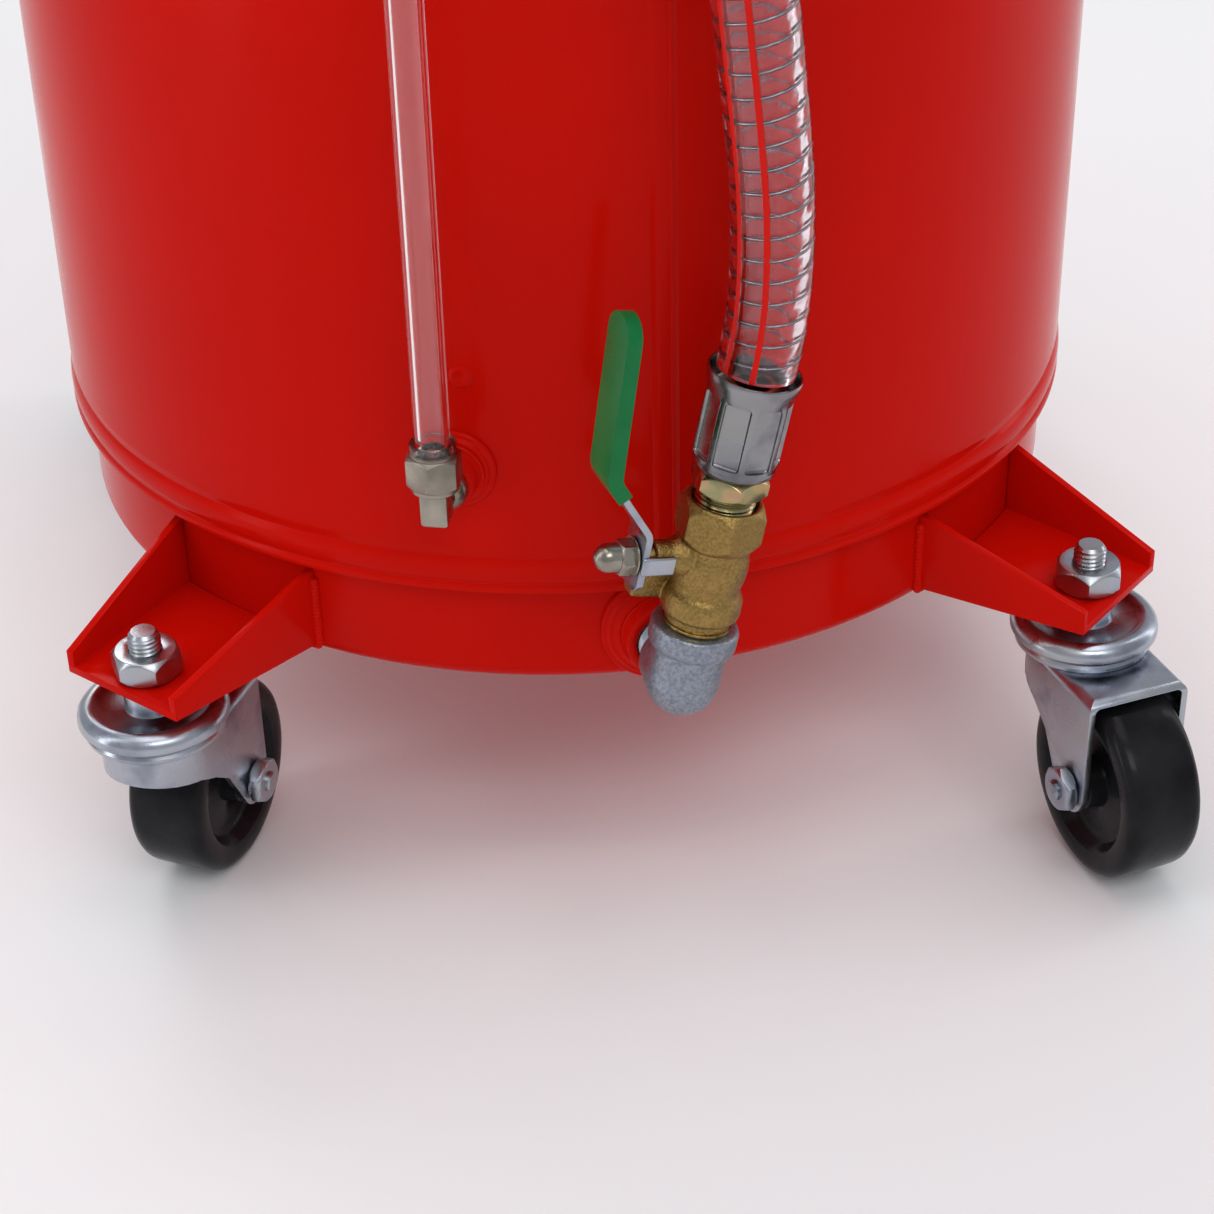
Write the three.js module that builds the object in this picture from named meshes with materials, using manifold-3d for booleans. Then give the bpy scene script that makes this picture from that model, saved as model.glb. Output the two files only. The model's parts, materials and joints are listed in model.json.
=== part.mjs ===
// Portable drain tank: a rolled steel tank on four swivel casters, with a sight
// gauge, a bottom outlet with a ball valve and a clear drain hose, and a funnel
// on a sliding mast. Millimetres, +Z up, origin on the floor under the tank's axis.
// The front, with the outlet, faces -Y. Azimuths are degrees from -Y towards +X.

import * as THREE from "three";
import { mergeVertices } from "three/addons/utils/BufferGeometryUtils.js";
import Module from "manifold-3d";

const wasm = await Module();
wasm.setup();

// ---- Driving dimensions -------------------------------------------------------

const gap = 0.3; // clearance between pieces that touch
const tankRadius = 200; // outside of the rolled shell
const shellHeight = 519; // straight shell, rim to rim
const tankSheet = 2; // thickness of shell and heads
const lapDepth = 15; // how far each head reaches into the shell
const beadHeight = 15; // swaged band at each end of the shell
const beadBulge = 0.9; // how far the band stands out of the shell
const skirtHeight = 41; // bottom head below the shell
const rimRadius = 7; // rounded lower edge of the bottom head
const skirtDrop = 5; // tank's underside below the undersides of the legs
const domeHeight = 42; // crown of the top head above its skirt
const facets = 32; // sides of the large turned pieces

const wheelRadius = 37.5;
const wheelWidth = 30;
const wheelTopRoom = 2.5; // between the tread and the fork's top plate
const wheelSideRoom = 3; // between the tyre's side and a cheek
const casterTrail = 32; // swivel axis to wheel axle
const swivelHeight = 20; // fork's top plate to the underside of a leg
const racewayRadius = 27.5;
const forkSheet = 2.5;
const axleRadius = 4;
const axleHexFlats = 16;
const stemRadius = 6;
const stemRise = 18; // stem above the leg's web
const stemNutFlats = 23;
const stemNutHeight = 10;

const legOverhang = 13.5; // swivel axis to the leg's outer end
const legWidthInner = 68;
const legWidthOuter = 54.3;
const legFlangeInner = 30.7; // flange height at the tank
const legFlangeOuter = 9; // flange height at the outer end
const legSheet = 3;
const stemClearance = 45; // tank's wall to a caster's swivel axis

const outletAzimuth = 2.8;
const outletRise = 22; // outlet's axis above the tank's underside
const outletBossLength = 12;
const outletBossRadius = 14.5;
const outletBossToe = 21.8; // weld fillet's radius on the tank
const pipeRadius = 10.6; // half-inch pipe thread
const boreRadius = 7.5; // waterway of elbow and valve
const elbowReach = 24; // boss face to the elbow's centre
const elbowMouth = 24; // elbow's centre to its mouth
const elbowBodyRadius = 13.4;
const elbowBandRadius = 15.4;
const elbowBandHeight = 8.5;
const valveLean = 12; // lean of the valve line to the right, degrees
const valveTurn = 12; // turn of the valve stem towards the front, degrees
const valveStart = 12; // valve's lower end above the elbow's centre
const valveLength = 60.5;
const stemHeight = 51.5; // valve stem above the elbow's centre
const leverPlane = 27; // lever strip's inner face from the valve's axis
const leverSheet = 2.5;
const leverWidth = 16;
const leverLength = 93;
const nippleHexFlats = 23.5;
const ferruleStart = 84.5; // hose ferrule's lower end above the elbow's centre
const ferruleEnd = 120;
const hoseRadius = 13.3;

const gaugeAzimuth = -17.5;
const gaugeInset = 50; // each gauge boss from its end of the shell
const gaugeClearance = 28; // tank's wall to the sight tube's axis
const gaugeTubeRadius = 6;
const gaugeTubeBore = 4;
const gaugeBossLength = 12;
const gaugeBossRadius = 9;
const gaugeBossToe = 14.6;
const gaugeNutFlats = 17;
const gaugeNutHeight = 12;

const mastRadius = 16;
const mastWall = 2;
const mastLength = 800;
const mastFloor = 55; // mast's lower end above the tank's underside, at rest
const guideRadius = 21;
const guideHeight = 60; // guide above the dome's crown
const bowlRadius = 190;
const bowlDepth = 105;
const bowlSheet = 1.5;
const strainerDepth = 62; // below the bowl's rim
const strainerRadius = 95;

const handleWidth = 240; // between the handle's leg axes
const handleRadius = 12.5;
const handleWall = 1.8;
const handleRise = 334; // handle's lower legs above the shell's lower edge
const handleHeight = 430;
const handleClearance = 47; // tank's wall to the handle's back, on the tube's axis
const handleCorner = 55;

// ---- Derived sizes ------------------------------------------------------------

const forkTop = 2 * wheelRadius + wheelTopRoom + forkSheet; // upper side of the top plate
const forkWidth = wheelWidth + 2 * (wheelSideRoom + forkSheet); // outside of the cheeks
const casterHeight = forkTop + swivelHeight; // floor to the underside of a leg
const tankBottom = casterHeight - skirtDrop;
const shellBottom = tankBottom + skirtHeight;
const shellTop = shellBottom + shellHeight;
const headRadius = tankRadius - 5 - gap; // outside of each head's skirt
const domeBase = shellTop + 5; // top head's skirt ends and its dome begins
const outletFace = headRadius + outletBossLength;
const elbowCentre = outletFace + elbowReach;
const stemReach = tankRadius + stemClearance; // tank axis to a caster's swivel axis
const legReach = stemReach + legOverhang;
const outletHeight = tankBottom + outletRise;
const gaugeLowHeight = shellBottom + gaugeInset;
const gaugeHighHeight = shellTop - gaugeInset;
const gaugeFace = tankRadius + gaugeBossLength;
const gaugeReach = tankRadius + gaugeClearance;
const mastBottom = tankBottom + mastFloor;
const mastTop = mastBottom + mastLength;
const handleLow = shellBottom + handleRise;
const handleTop = handleLow + handleHeight;
const handleReach = tankRadius + handleClearance;
const rad = THREE.MathUtils.degToRad;

function domeZ(r) {
  return domeBase + domeHeight * Math.sqrt(Math.max(0, 1 - (r / headRadius) ** 2));
}

// ---- Materials ----------------------------------------------------------------

function material(colour, roughness, metalness) {
  return new THREE.MeshStandardMaterial({ color: colour, roughness, metalness });
}
const redPaint = () => material(0xb81208, 0.25, 0.1);
const zinc = () => material(0xb9bec9, 0.35, 0.9);
const galvanised = () => material(0x9da3ad, 0.55, 0.8);
const brass = () => material(0xb08a3c, 0.4, 0.9);
const yellowZinc = () => material(0xb59a5c, 0.3, 0.9);
const nickel = () => material(0xc2b9a6, 0.25, 0.9);
const clearPlastic = () => material(0xdfe3e6, 0.1, 0.0);
const greenVinyl = () => material(0x009145, 0.4, 0.0);
const blackPlastic = () => material(0x0b0b0c, 0.25, 0.0);
const chrome = () => material(0xd8dadd, 0.12, 1.0);

// ---- Solids -------------------------------------------------------------------

// Merges shared corners, drops faces with no area, turns an inside-out shape and
// returns the closed solid.
function solid(geometry) {
  const plain = new THREE.BufferGeometry();
  plain.setAttribute("position", geometry.getAttribute("position").clone());
  if (geometry.index) plain.setIndex(geometry.index.clone());
  const merged = mergeVertices(plain, 1e-4);
  const at = merged.getAttribute("position").array;
  const triangles = [];
  let volume = 0;
  for (let i = 0; i < merged.index.count; i += 3) {
    const [a, b, c] = [0, 1, 2].map((k) => merged.index.getX(i + k));
    if (a === b || b === c || c === a) continue;
    triangles.push(a, b, c);
    const [p, q, r] = [a, b, c].map((k) => new THREE.Vector3().fromArray(at, 3 * k));
    volume += p.dot(q.cross(r));
  }
  if (volume < 0) triangles.reverse();
  const mesh = new wasm.Mesh({
    numProp: 3,
    vertProperties: Float32Array.from(at),
    triVerts: Uint32Array.from(triangles),
  });
  return new wasm.Manifold(mesh);
}

function geometryOf(body) {
  const { vertProperties, triVerts } = body.getMesh();
  const geometry = new THREE.BufferGeometry();
  geometry.setAttribute("position", new THREE.BufferAttribute(vertProperties, 3));
  geometry.setIndex(new THREE.BufferAttribute(triVerts, 1));
  const faces = geometry.toNonIndexed();
  faces.computeVertexNormals();
  return faces;
}

function piece(name, body, look) {
  const mesh = new THREE.Mesh(geometryOf(body), look);
  mesh.name = name;
  return mesh;
}

// A profile of [radius, height] points, turned about Z.
function turned(profile, sides = facets) {
  const points = profile.map(([r, z]) => new THREE.Vector2(r, z));
  return solid(new THREE.LatheGeometry(points, sides).rotateX(Math.PI / 2));
}

// A closed ring profile: its first point is repeated at its end.
function turnedRing(profile, sides = facets) {
  return turned([...profile, profile[0]], sides);
}

// A round rod along Z.
function rod(radius, from, to, sides = 16) {
  const geometry = new THREE.CylinderGeometry(radius, radius, to - from, sides);
  return solid(geometry.rotateX(Math.PI / 2).translate(0, 0, (from + to) / 2));
}

function hexagon(flats, from, to) {
  return rod(flats / 2 / Math.cos(Math.PI / 6), from, to, 6);
}

function block(x0, x1, y0, y1, z0, z1) {
  const geometry = new THREE.BoxGeometry(x1 - x0, y1 - y0, z1 - z0);
  return solid(geometry.translate((x0 + x1) / 2, (y0 + y1) / 2, (z0 + z1) / 2));
}

// An outline of [x, y] points, extruded along Z.
function plate(outline, from, to) {
  const shape = new THREE.Shape(outline.map(([x, y]) => new THREE.Vector2(x, y)));
  const geometry = new THREE.ExtrudeGeometry(shape, { depth: to - from, bevelEnabled: false });
  return solid(geometry.translate(0, 0, from));
}

// A tube or bar along a curve.
function swept(curve, radius, steps, sides, bore = 0) {
  const shape = new THREE.Shape(ring(radius, sides));
  if (bore > 0) shape.holes.push(new THREE.Path(ring(bore, sides)));
  return solid(new THREE.ExtrudeGeometry(shape, { steps, extrudePath: curve }));
}

function ring(radius, sides) {
  return Array.from({ length: sides }, (_, i) => {
    const a = (2 * Math.PI * i) / sides;
    return new THREE.Vector2(radius * Math.cos(a), radius * Math.sin(a));
  });
}

function arc(cx, cy, radius, fromDegrees, toDegrees, steps) {
  return Array.from({ length: steps + 1 }, (_, i) => {
    const a = rad(fromDegrees + ((toDegrees - fromDegrees) * i) / steps);
    return [cx + radius * Math.cos(a), cy + radius * Math.sin(a)];
  });
}

// A group turned about the tank's axis, so that its -Y is the outward direction.
function atAzimuth(degrees) {
  const group = new THREE.Group();
  group.rotation.z = rad(degrees);
  return group;
}

// Points a solid made along +Z outwards from the tank, along -Y.
function outward(body) {
  return body.rotate([90, 0, 0]);
}

// ---- Tank ---------------------------------------------------------------------

// The room a tank wall needs, with clearance, to cut what is welded to it.
function wallCutter(radius) {
  return rod(radius + gap, 0, 2 * shellTop, 4 * facets);
}

function tankShell() {
  const bead = tankRadius + beadBulge;
  const groove = tankRadius - 0.6;
  const lap = headRadius + gap; // inside of the shell where a head sits in it
  const inside = tankRadius - tankSheet;
  const lower = [
    [inside, shellBottom + lapDepth + 6],
    [lap, shellBottom + lapDepth + 1],
    [lap, shellBottom],
    [bead - 1.5, shellBottom],
    [bead, shellBottom + 2],
    [bead, shellBottom + beadHeight - 3],
    [groove, shellBottom + beadHeight],
    [tankRadius, shellBottom + beadHeight + 3],
  ];
  const middle = shellBottom + shellHeight / 2;
  const upper = lower.map(([r, z]) => [r, 2 * middle - z]).reverse();
  let body = turnedRing([...lower, ...upper]);
  for (const height of [gaugeLowHeight, gaugeHighHeight]) {
    const hole = outward(rod(5, tankRadius - 20, tankRadius + 20, 12));
    body = body.subtract(hole.translate([0, 0, height]).rotate([0, 0, gaugeAzimuth]));
  }
  return body;
}

function bottomHead() {
  const lapTop = shellBottom + lapDepth;
  const inner = headRadius - tankSheet;
  const rim = arc(headRadius - rimRadius, tankBottom + rimRadius, rimRadius, 0, -90, 4);
  const innerRim = arc(
    headRadius - rimRadius, tankBottom + rimRadius, rimRadius - tankSheet, -90, 0, 4);
  const body = turned([
    [0, tankBottom + tankSheet],
    ...innerRim,
    [inner, lapTop],
    [headRadius, lapTop],
    ...rim,
    [0, tankBottom],
  ]);
  const hole = outward(rod(9, headRadius - 15, headRadius + 15, 16));
  return body.subtract(hole.translate([0, 0, outletHeight]).rotate([0, 0, outletAzimuth]));
}

function topHead() {
  const hole = guideRadius - 4 + gap;
  const steps = 5;
  const dome = (radius, lift) => Array.from({ length: steps + 1 }, (_, i) => {
    const r = hole + (radius - hole) * Math.sin((Math.PI / 2) * (i / steps));
    const height = domeHeight + lift;
    return [r, domeBase + height * Math.sqrt(Math.max(0, 1 - (r / radius) ** 2))];
  });
  const outer = dome(headRadius, 0);
  const inner = dome(headRadius - tankSheet, -tankSheet);
  let body = turnedRing([
    ...outer,
    [headRadius, shellTop - lapDepth],
    [headRadius - tankSheet, shellTop - lapDepth],
    ...inner.reverse(),
  ]);
  for (const { azimuth, reach } of topFittings) {
    const port = rod(4, domeBase - 20, domeBase + 80, 12).translate([0, -reach, 0]);
    body = body.subtract(port.rotate([0, 0, azimuth]));
  }
  return body;
}

// A weld-on socket with its fillet, cut to the tank's wall.
function weldBoss(face, radius, toe, bore, wall, ceiling = 2 * toe) {
  const foot = wall - 6;
  const body = outward(turned([
    [0, foot],
    [toe, foot],
    [toe, wall - 1],
    [(radius + toe) / 2 - 0.5, wall + 3.5],
    [radius, wall + 7],
    [radius, face - 1],
    [radius - 1, face],
    [0, face],
  ], 24));
  const waterway = outward(rod(bore, wall - 20, face + 1, 16));
  const above = block(-face, face, -2 * face, face, ceiling, ceiling + face);
  return body.subtract(waterway).subtract(above)
    .subtract(wallCutter(wall).translate([0, 0, -shellTop]));
}

// ---- Legs and casters ---------------------------------------------------------

// A folded tray: a tapered web with two flanges that slope down to its outer end.
function legBracket() {
  const inner = headRadius - 30;
  const slope = (legWidthInner - legWidthOuter) / 2 / (legReach - headRadius);
  const half = (reach) => legWidthOuter / 2 + slope * (legReach - reach);
  const web = plate([
    [-half(inner), -inner],
    [-half(legReach), -legReach],
    [half(legReach), -legReach],
    [half(inner), -inner],
  ], casterHeight, casterHeight + legSheet);
  const fall = (legFlangeInner - legFlangeOuter) / (legReach - headRadius);
  const flangeSide = plate([
    [inner, 0],
    [legReach, 0],
    [legReach, legFlangeOuter],
    [inner, legFlangeOuter + fall * (legReach - inner)],
  ], 0, legSheet);
  const turn = THREE.MathUtils.radToDeg(Math.atan(slope));
  let body = web;
  for (const side of [-1, 1]) {
    // Laid along -Y from the web's corner, opening towards the tank by the web's taper.
    let flange = flangeSide.rotate([90, 0, -90]).translate([side > 0 ? 0 : legSheet, 0, 0]);
    flange = flange.translate([0, legReach, 0]).rotate([0, 0, -side * turn]);
    flange = flange.translate([side * half(legReach), -legReach, casterHeight]);
    body = body.add(flange);
  }
  const stemHole = rod(stemRadius + gap, 0, 2 * casterHeight, 16);
  return body
    .intersect(block(-60, 60, -legReach, 0, casterHeight, shellBottom - gap))
    .subtract(stemHole.translate([0, -stemReach, 0]))
    .subtract(wallCutter(headRadius));
}

// Threaded stem, hexagon collar, upper raceway and king pin, turned in one.
function casterStem() {
  const cupBottom = forkTop + 4;
  const stem = turned([
    [0, forkTop - forkSheet - 5],
    [9, forkTop - forkSheet - 5],
    [9, forkTop - forkSheet - 1],
    [6, forkTop - forkSheet - 1],
    [6, cupBottom],
    [racewayRadius - 1, cupBottom],
    [racewayRadius, cupBottom + 2],
    [racewayRadius - 1, cupBottom + 6],
    [racewayRadius - 4, cupBottom + 8],
    [10, cupBottom + 5.5],
    [10, casterHeight - gap],
    [stemRadius, casterHeight - gap],
    [stemRadius, casterHeight + legSheet + stemRise],
    [0, casterHeight + legSheet + stemRise],
  ], 16);
  return stem;
}

function hexNut(flats, bore, from, to) {
  return hexagon(flats, from, to).subtract(rod(bore, from - 1, to + 1, 16));
}

// Pressed fork: raised lower raceway, top plate, cheeks and a low front apron.
// It trails along +X from the swivel axis.
function casterFork() {
  const half = forkWidth / 2;
  const under = forkTop - forkSheet;
  const tail = casterTrail + 10;
  const outline = (r, end) => [
    [end, -r],
    [end, r],
    ...arc(0, 0, r, 90, 270, 6),
  ];
  const top = plate(outline(half, tail), under, forkTop);
  const blank = sideCheek(half, tail, under);
  const room = plate(outline(half - forkSheet, tail + 5), 0, under);
  const raceway = turned([
    [0, forkTop - 0.5],
    [racewayRadius - 2.5, forkTop - 0.5],
    [racewayRadius - 2, forkTop + 2.6],
    [racewayRadius - 5, forkTop + 3.4],
    [0, forkTop + 3.4],
  ], 16);
  const skirted = blank.intersect(plate(outline(half, tail), 0, forkTop)).subtract(room);
  const kingHole = rod(6 + 2 * gap, 0, casterHeight, 12);
  const axleHole = rod(axleRadius + gap, -forkWidth, forkWidth, 12);
  return skirted
    .add(top)
    .add(raceway)
    .subtract(kingHole)
    .subtract(axleHole.rotate([90, 0, 0]).translate([casterTrail, 0, wheelRadius]));
}

// The cheeks' side view, as wide as the fork: it falls from the apron to the axle.
function sideCheek(half, tail, under) {
  const outline = [
    [tail, forkTop],
    [tail, wheelRadius],
    ...arc(casterTrail, wheelRadius, 10, 0, -140, 6),
    [10, under - 20],
    [-6, under - 13],
    [-half, under - 11],
    [-half, forkTop],
  ];
  return plate(outline, -half, half).rotate([90, 0, 0]);
}

function axleBolt() {
  const half = forkWidth / 2;
  const bolt = rod(axleRadius, -half - 3, half + 3, 12)
    .add(hexagon(axleHexFlats, -half - 5.5, -half - gap))
    .add(hexagon(axleHexFlats, half + gap, half + 5.6));
  return bolt.rotate([90, 0, 0]).translate([casterTrail, 0, wheelRadius]);
}

function casterWheel() {
  const half = wheelWidth / 2;
  const hub = half + wheelSideRoom - 1;
  const body = turnedRing([
    [axleRadius + gap, -hub],
    [10, -hub],
    [11, -half + 6],
    [24, -half + 6],
    [28, -half],
    [wheelRadius - 4, -half],
    [wheelRadius, -half + 5],
    [wheelRadius, half - 5],
    [wheelRadius - 4, half],
    [28, half],
    [24, half - 6],
    [11, half - 6],
    [10, hub],
    [axleRadius + gap, hub],
  ], 20);
  return body.rotate([90, 0, 0]).translate([casterTrail, 0, wheelRadius]);
}

// ---- Outlet, valve and hose ends ----------------------------------------------
// Modelled with the elbow's centre at the origin, the outlet pipe towards +Y (the
// tank) and the valve line along +Z.

function streetElbow() {
  const male = rod(pipeRadius - gap, gap, elbowReach + 10, 20).rotate([-90, 0, 0]);
  const shoulder = rod(elbowBodyRadius, 0, elbowReach - 9, 20).rotate([-90, 0, 0]);
  const bend = solid(new THREE.SphereGeometry(elbowBodyRadius, 16, 10));
  const cup = rod(elbowBodyRadius, 0, elbowMouth - elbowBandHeight + 1, 20);
  const band = rod(elbowBandRadius, elbowMouth - elbowBandHeight, elbowMouth, 20);
  const socket = rod(pipeRadius, valveStart - gap, elbowMouth + 1, 20);
  const riser = rod(boreRadius, 0, elbowMouth, 16);
  const inlet = rod(boreRadius, 0, elbowReach + 20, 16).rotate([-90, 0, 0]);
  return male.add(shoulder).add(bend).add(cup).add(band)
    .subtract(socket).subtract(riser).subtract(inlet);
}

function valveBody() {
  const end = valveStart + valveLength;
  const top = stemHeight;
  const outside = turned([
    [0, valveStart],
    [pipeRadius - gap, valveStart],
    [pipeRadius - gap, 27],
    [elbowBodyRadius, 29],
    [elbowBodyRadius + 0.6, 38],
    [elbowBodyRadius - 0.6, 41],
    [elbowBodyRadius - 0.2, top + 6],
    [elbowBodyRadius - 0.2, end - 6],
    [0, end - 6],
  ], 24);
  const hex = hexagon(27, end - 16, end).intersect(rod(15, end - 17, end + 1, 24));
  const neck = rod(5.5, 0, leverPlane - 4, 16).rotate([0, -90, 0]).translate([0, 0, top]);
  const lug = block(-leverPlane + 2, -9, 4, 11, top - 19, top - 9);
  const waterway = rod(boreRadius, 0, end + 1, 16);
  const chamber = solid(new THREE.SphereGeometry(11.2, 16, 10)).translate([0, 0, top]);
  const socket = rod(pipeRadius, end - 12, end + 1, 20);
  const stemHole = rod(4 + gap, 0, 60, 16).rotate([0, -90, 0]).translate([0, 0, top]);
  const side = neck.add(lug).rotate([0, 0, valveTurn]);
  return outside.add(hex).add(side)
    .subtract(waterway).subtract(chamber).subtract(socket)
    .subtract(stemHole.rotate([0, 0, valveTurn]));
}

// The stem's pieces point along -X, in a frame turned by valveTurn.
function valveBall() {
  const ball = solid(new THREE.SphereGeometry(11.2 - gap, 16, 10));
  const bore = rod(boreRadius, -20, 20, 16);
  const slot = rod(4 + gap, 8, 20, 16).rotate([0, -90, 0]);
  return ball.subtract(bore).subtract(slot).translate([0, 0, stemHeight]);
}

function valveStem() {
  const outer = leverPlane + leverSheet + 10;
  const stem = rod(4, 8.4, leverPlane - gap, 16).add(rod(3, leverPlane - 1, outer, 16));
  return stem.rotate([0, -90, 0]).translate([0, 0, stemHeight]);
}

// A strip seen from its edge: [distance from the pipe's axis, height above the stem].
function leverLine() {
  return [
    [leverPlane, -11],
    [leverPlane, 11],
    [leverPlane + 17.5, 32],
    [leverPlane + 21.5, leverLength],
  ];
}

function valveLever() {
  const line = leverLine();
  const last = line[line.length - 1];
  const before = line[line.length - 2];
  const reach = 0.45; // the bare strip ends here inside the grip
  const tip = [
    before[0] + (last[0] - before[0]) * reach,
    before[1] + (last[1] - before[1]) * reach,
  ];
  const inner = [line[0], line[1], before, tip];
  const outerSide = inner.map(([x, z], i) => [x + leverSheet * (i > 1 ? 1.05 : 1), z]);
  const outline = [...inner, ...outerSide.reverse()].map(([x, z]) => [-x, z]);
  const half = leverWidth / 2 - 1;
  const strip = plate(outline, -half, half).rotate([90, 0, 0]);
  const tab = block(
    -leverPlane - leverSheet, -leverPlane + 10, -half - 1, -half + 1.2, -3.5, 3.5);
  const hole = rod(3 + gap, 0, 60, 16).rotate([0, -90, 0]);
  return strip.add(tab).subtract(hole).translate([0, 0, stemHeight]);
}

function leverGrip() {
  const line = leverLine();
  const [x0, z0] = line[2];
  const [x1, z1] = line[3];
  const start = [x0 - 6, z0 - 6];
  const sleeve = 2.4; // vinyl's thickness at the edges
  const tip = [x1, z1];
  const inner = [start, [x0, z0], tip].map(([x, z]) => [x - sleeve + 0.3, z]);
  const outer = [start, [x0, z0], tip].map(([x, z]) => [x + leverSheet + sleeve, z]);
  const outline = [...inner, ...outer.reverse()].map(([x, z]) => [-x, z]);
  const half = leverWidth / 2;
  const body = plate(outline, -half, half).rotate([90, 0, 0]);
  return body.translate([0, 0, stemHeight]).subtract(leverPocket());
}

// The room inside the grip for the lever's strip.
function leverPocket() {
  const line = leverLine();
  const [x0, z0] = line[2];
  const [x1, z1] = line[3];
  const reach = 0.5;
  const tip = [x0 + (x1 - x0) * reach, z0 + (z1 - z0) * reach];
  const low = [line[1][0], line[1][1]];
  const inner = [low, [x0, z0], tip].map(([x, z]) => [x - gap, z]);
  const outer = [low, [x0, z0], tip].map(([x, z]) => [x + leverSheet * 1.05 + gap, z]);
  const outline = [...inner, ...outer.reverse()].map(([x, z]) => [-x, z]);
  const half = leverWidth / 2 - 1 + gap;
  return plate(outline, -half, half).rotate([90, 0, 0]).translate([0, 0, stemHeight]);
}

// Hexagon nut with its domed cap.
function leverNut() {
  const from = leverPlane + leverSheet + gap;
  const nut = hexagon(11, from, from + 6);
  const cap = turned([[0, from + 5.5], [5, from + 5.5], [5, from + 10], [3.6, from + 13.5],
    [0, from + 15]], 16);
  const bore = rod(3 + gap, from - 1, leverPlane + leverSheet + 10 + gap, 16);
  return nut.add(cap).subtract(bore).rotate([0, -90, 0]).translate([0, 0, stemHeight]);
}

function hoseNipple() {
  const end = valveStart + valveLength;
  const body = turned([
    [0, end - 11],
    [pipeRadius - gap, end - 11],
    [pipeRadius - gap, end + 3],
    [8.6, end + 4],
    [8.6, ferruleEnd - 4],
    [0, ferruleEnd - 4],
  ], 20);
  const hex = hexagon(nippleHexFlats, end + 3, ferruleStart - gap);
  return body.add(hex).subtract(rod(boreRadius - 0.6, 0, 200, 16));
}

// Crimped ferrule: a flared lip over a waisted, fluted sleeve.
function hoseFerrule() {
  const length = ferruleEnd - ferruleStart;
  const outside = turned([
    [0, ferruleStart],
    [12.6, ferruleStart],
    [14, ferruleStart + 3],
    [14.3, ferruleStart + length * 0.55],
    [13.9, ferruleStart + length * 0.7],
    [15.6, ferruleEnd - 6],
    [15.8, ferruleEnd],
    [0, ferruleEnd],
  ], 24);
  return outside.subtract(rod(8.6 + gap, 0, 200, 20));
}

// ---- Drain hose ---------------------------------------------------------------

// The hose's axis from the ferrule, up the front and over the tank's shoulder.
const hoseRun = [
  [36.4, -229.2, 235.2],
  [38.8, -229.3, 248],
  [40.4, -230.0, 264],
  [40.6, -231.4, 282],
  [39.8, -233.0, 302],
  [37.6, -234.4, 325],
  [34.6, -235.4, 352],
  [31.4, -235.8, 382],
  [28.4, -235.2, 415],
  [26.0, -234.4, 450],
  [24.3, -233.4, 485],
  [23.3, -232.6, 520],
  [23.0, -232.0, 550],
  [23.0, -232.0, 580],
  [26.6, -227.7, 618.3],
  [37.0, -214.9, 654],
  [53.6, -194.7, 684.7],
  [75.3, -168.3, 708.2],
  [100.5, -137.6, 723],
  [127.5, -104.7, 728],
];
const coilTurns = 1.25;
const coilStart = 50.6; // azimuth where the hose comes down on the tank
const coilRadius = 165; // outermost turn, on the hose's axis
const coilPitch = 28; // between turns
const coilCurl = 240; // extra inward curl of the last part turn
const coilLift = 15; // hose axis above the dome
const nozzleLength = 112;
const nozzleCollar = 34;
const hookHeight = 545;

// The hose's axis on the tank's top, at so many turns from where it comes down.
function coilPoint(turns) {
  const curl = coilCurl * Math.max(0, turns - 1) ** 2;
  const r = coilRadius - coilPitch * turns - curl;
  const a = rad(coilStart + 360 * turns);
  return new THREE.Vector3(r * Math.sin(a), -r * Math.cos(a), domeZ(r) + coilLift);
}

function hoseCurve() {
  return new THREE.CatmullRomCurve3(hoseRun.map((p) => new THREE.Vector3(...p)));
}

function drainHose() {
  return swept(hoseCurve(), hoseRadius, 26, 8, hoseRadius - 3.5);
}

// The nozzle's place: at the coil's end, pointing on along it.
function nozzleFrame() {
  const end = coilPoint(coilTurns);
  const along = end.clone().sub(coilPoint(coilTurns - 0.01)).normalize();
  const turn = new THREE.Quaternion().setFromUnitVectors(new THREE.Vector3(0, 0, 1), along);
  return { end, turn };
}

function nozzle() {
  return turnedRing([
    [6, 0],
    [13.9, 0],
    [14.2, 4],
    [13.6, nozzleCollar - 4],
    [12, nozzleCollar],
    [9.5, nozzleCollar + 2],
    [9.5, nozzleLength],
    [6, nozzleLength],
  ], 20);
}

// The outer shape of the coiled hose on the tank's top.
function hoseCoil() {
  const inner = coilRadius - coilPitch * coilTurns - coilCurl * (coilTurns - 1) ** 2 - hoseRadius;
  const outer = coilRadius + hoseRadius;
  const steps = 3;
  const across = Array.from(
    { length: steps + 1 }, (_, i) => inner + ((outer - inner) * i) / steps);
  const lower = across.map((r) => [r, domeZ(r) + 1]);
  const upper = across.map((r) => [r, domeZ(r) + coilLift + hoseRadius]).reverse();
  const coil = turnedRing([...lower, ...upper]);
  const last = hoseRun.slice(-6).map((p) => new THREE.Vector3(...p));
  const beyond = last[5].clone().multiplyScalar(2).sub(last[4]);
  const lead = swept(new THREE.CatmullRomCurve3([...last, beyond]), hoseRadius + 1.6, 9, 8);
  const { end, turn } = nozzleFrame();
  const room = new THREE.CylinderGeometry(16, 16, nozzleLength + 40, 16)
    .rotateX(Math.PI / 2)
    .translate(0, 0, nozzleLength / 2 + 19.7)
    .applyQuaternion(turn)
    .translate(end.x, end.y, end.z);
  return coil.subtract(lead).subtract(solid(room));
}

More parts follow.
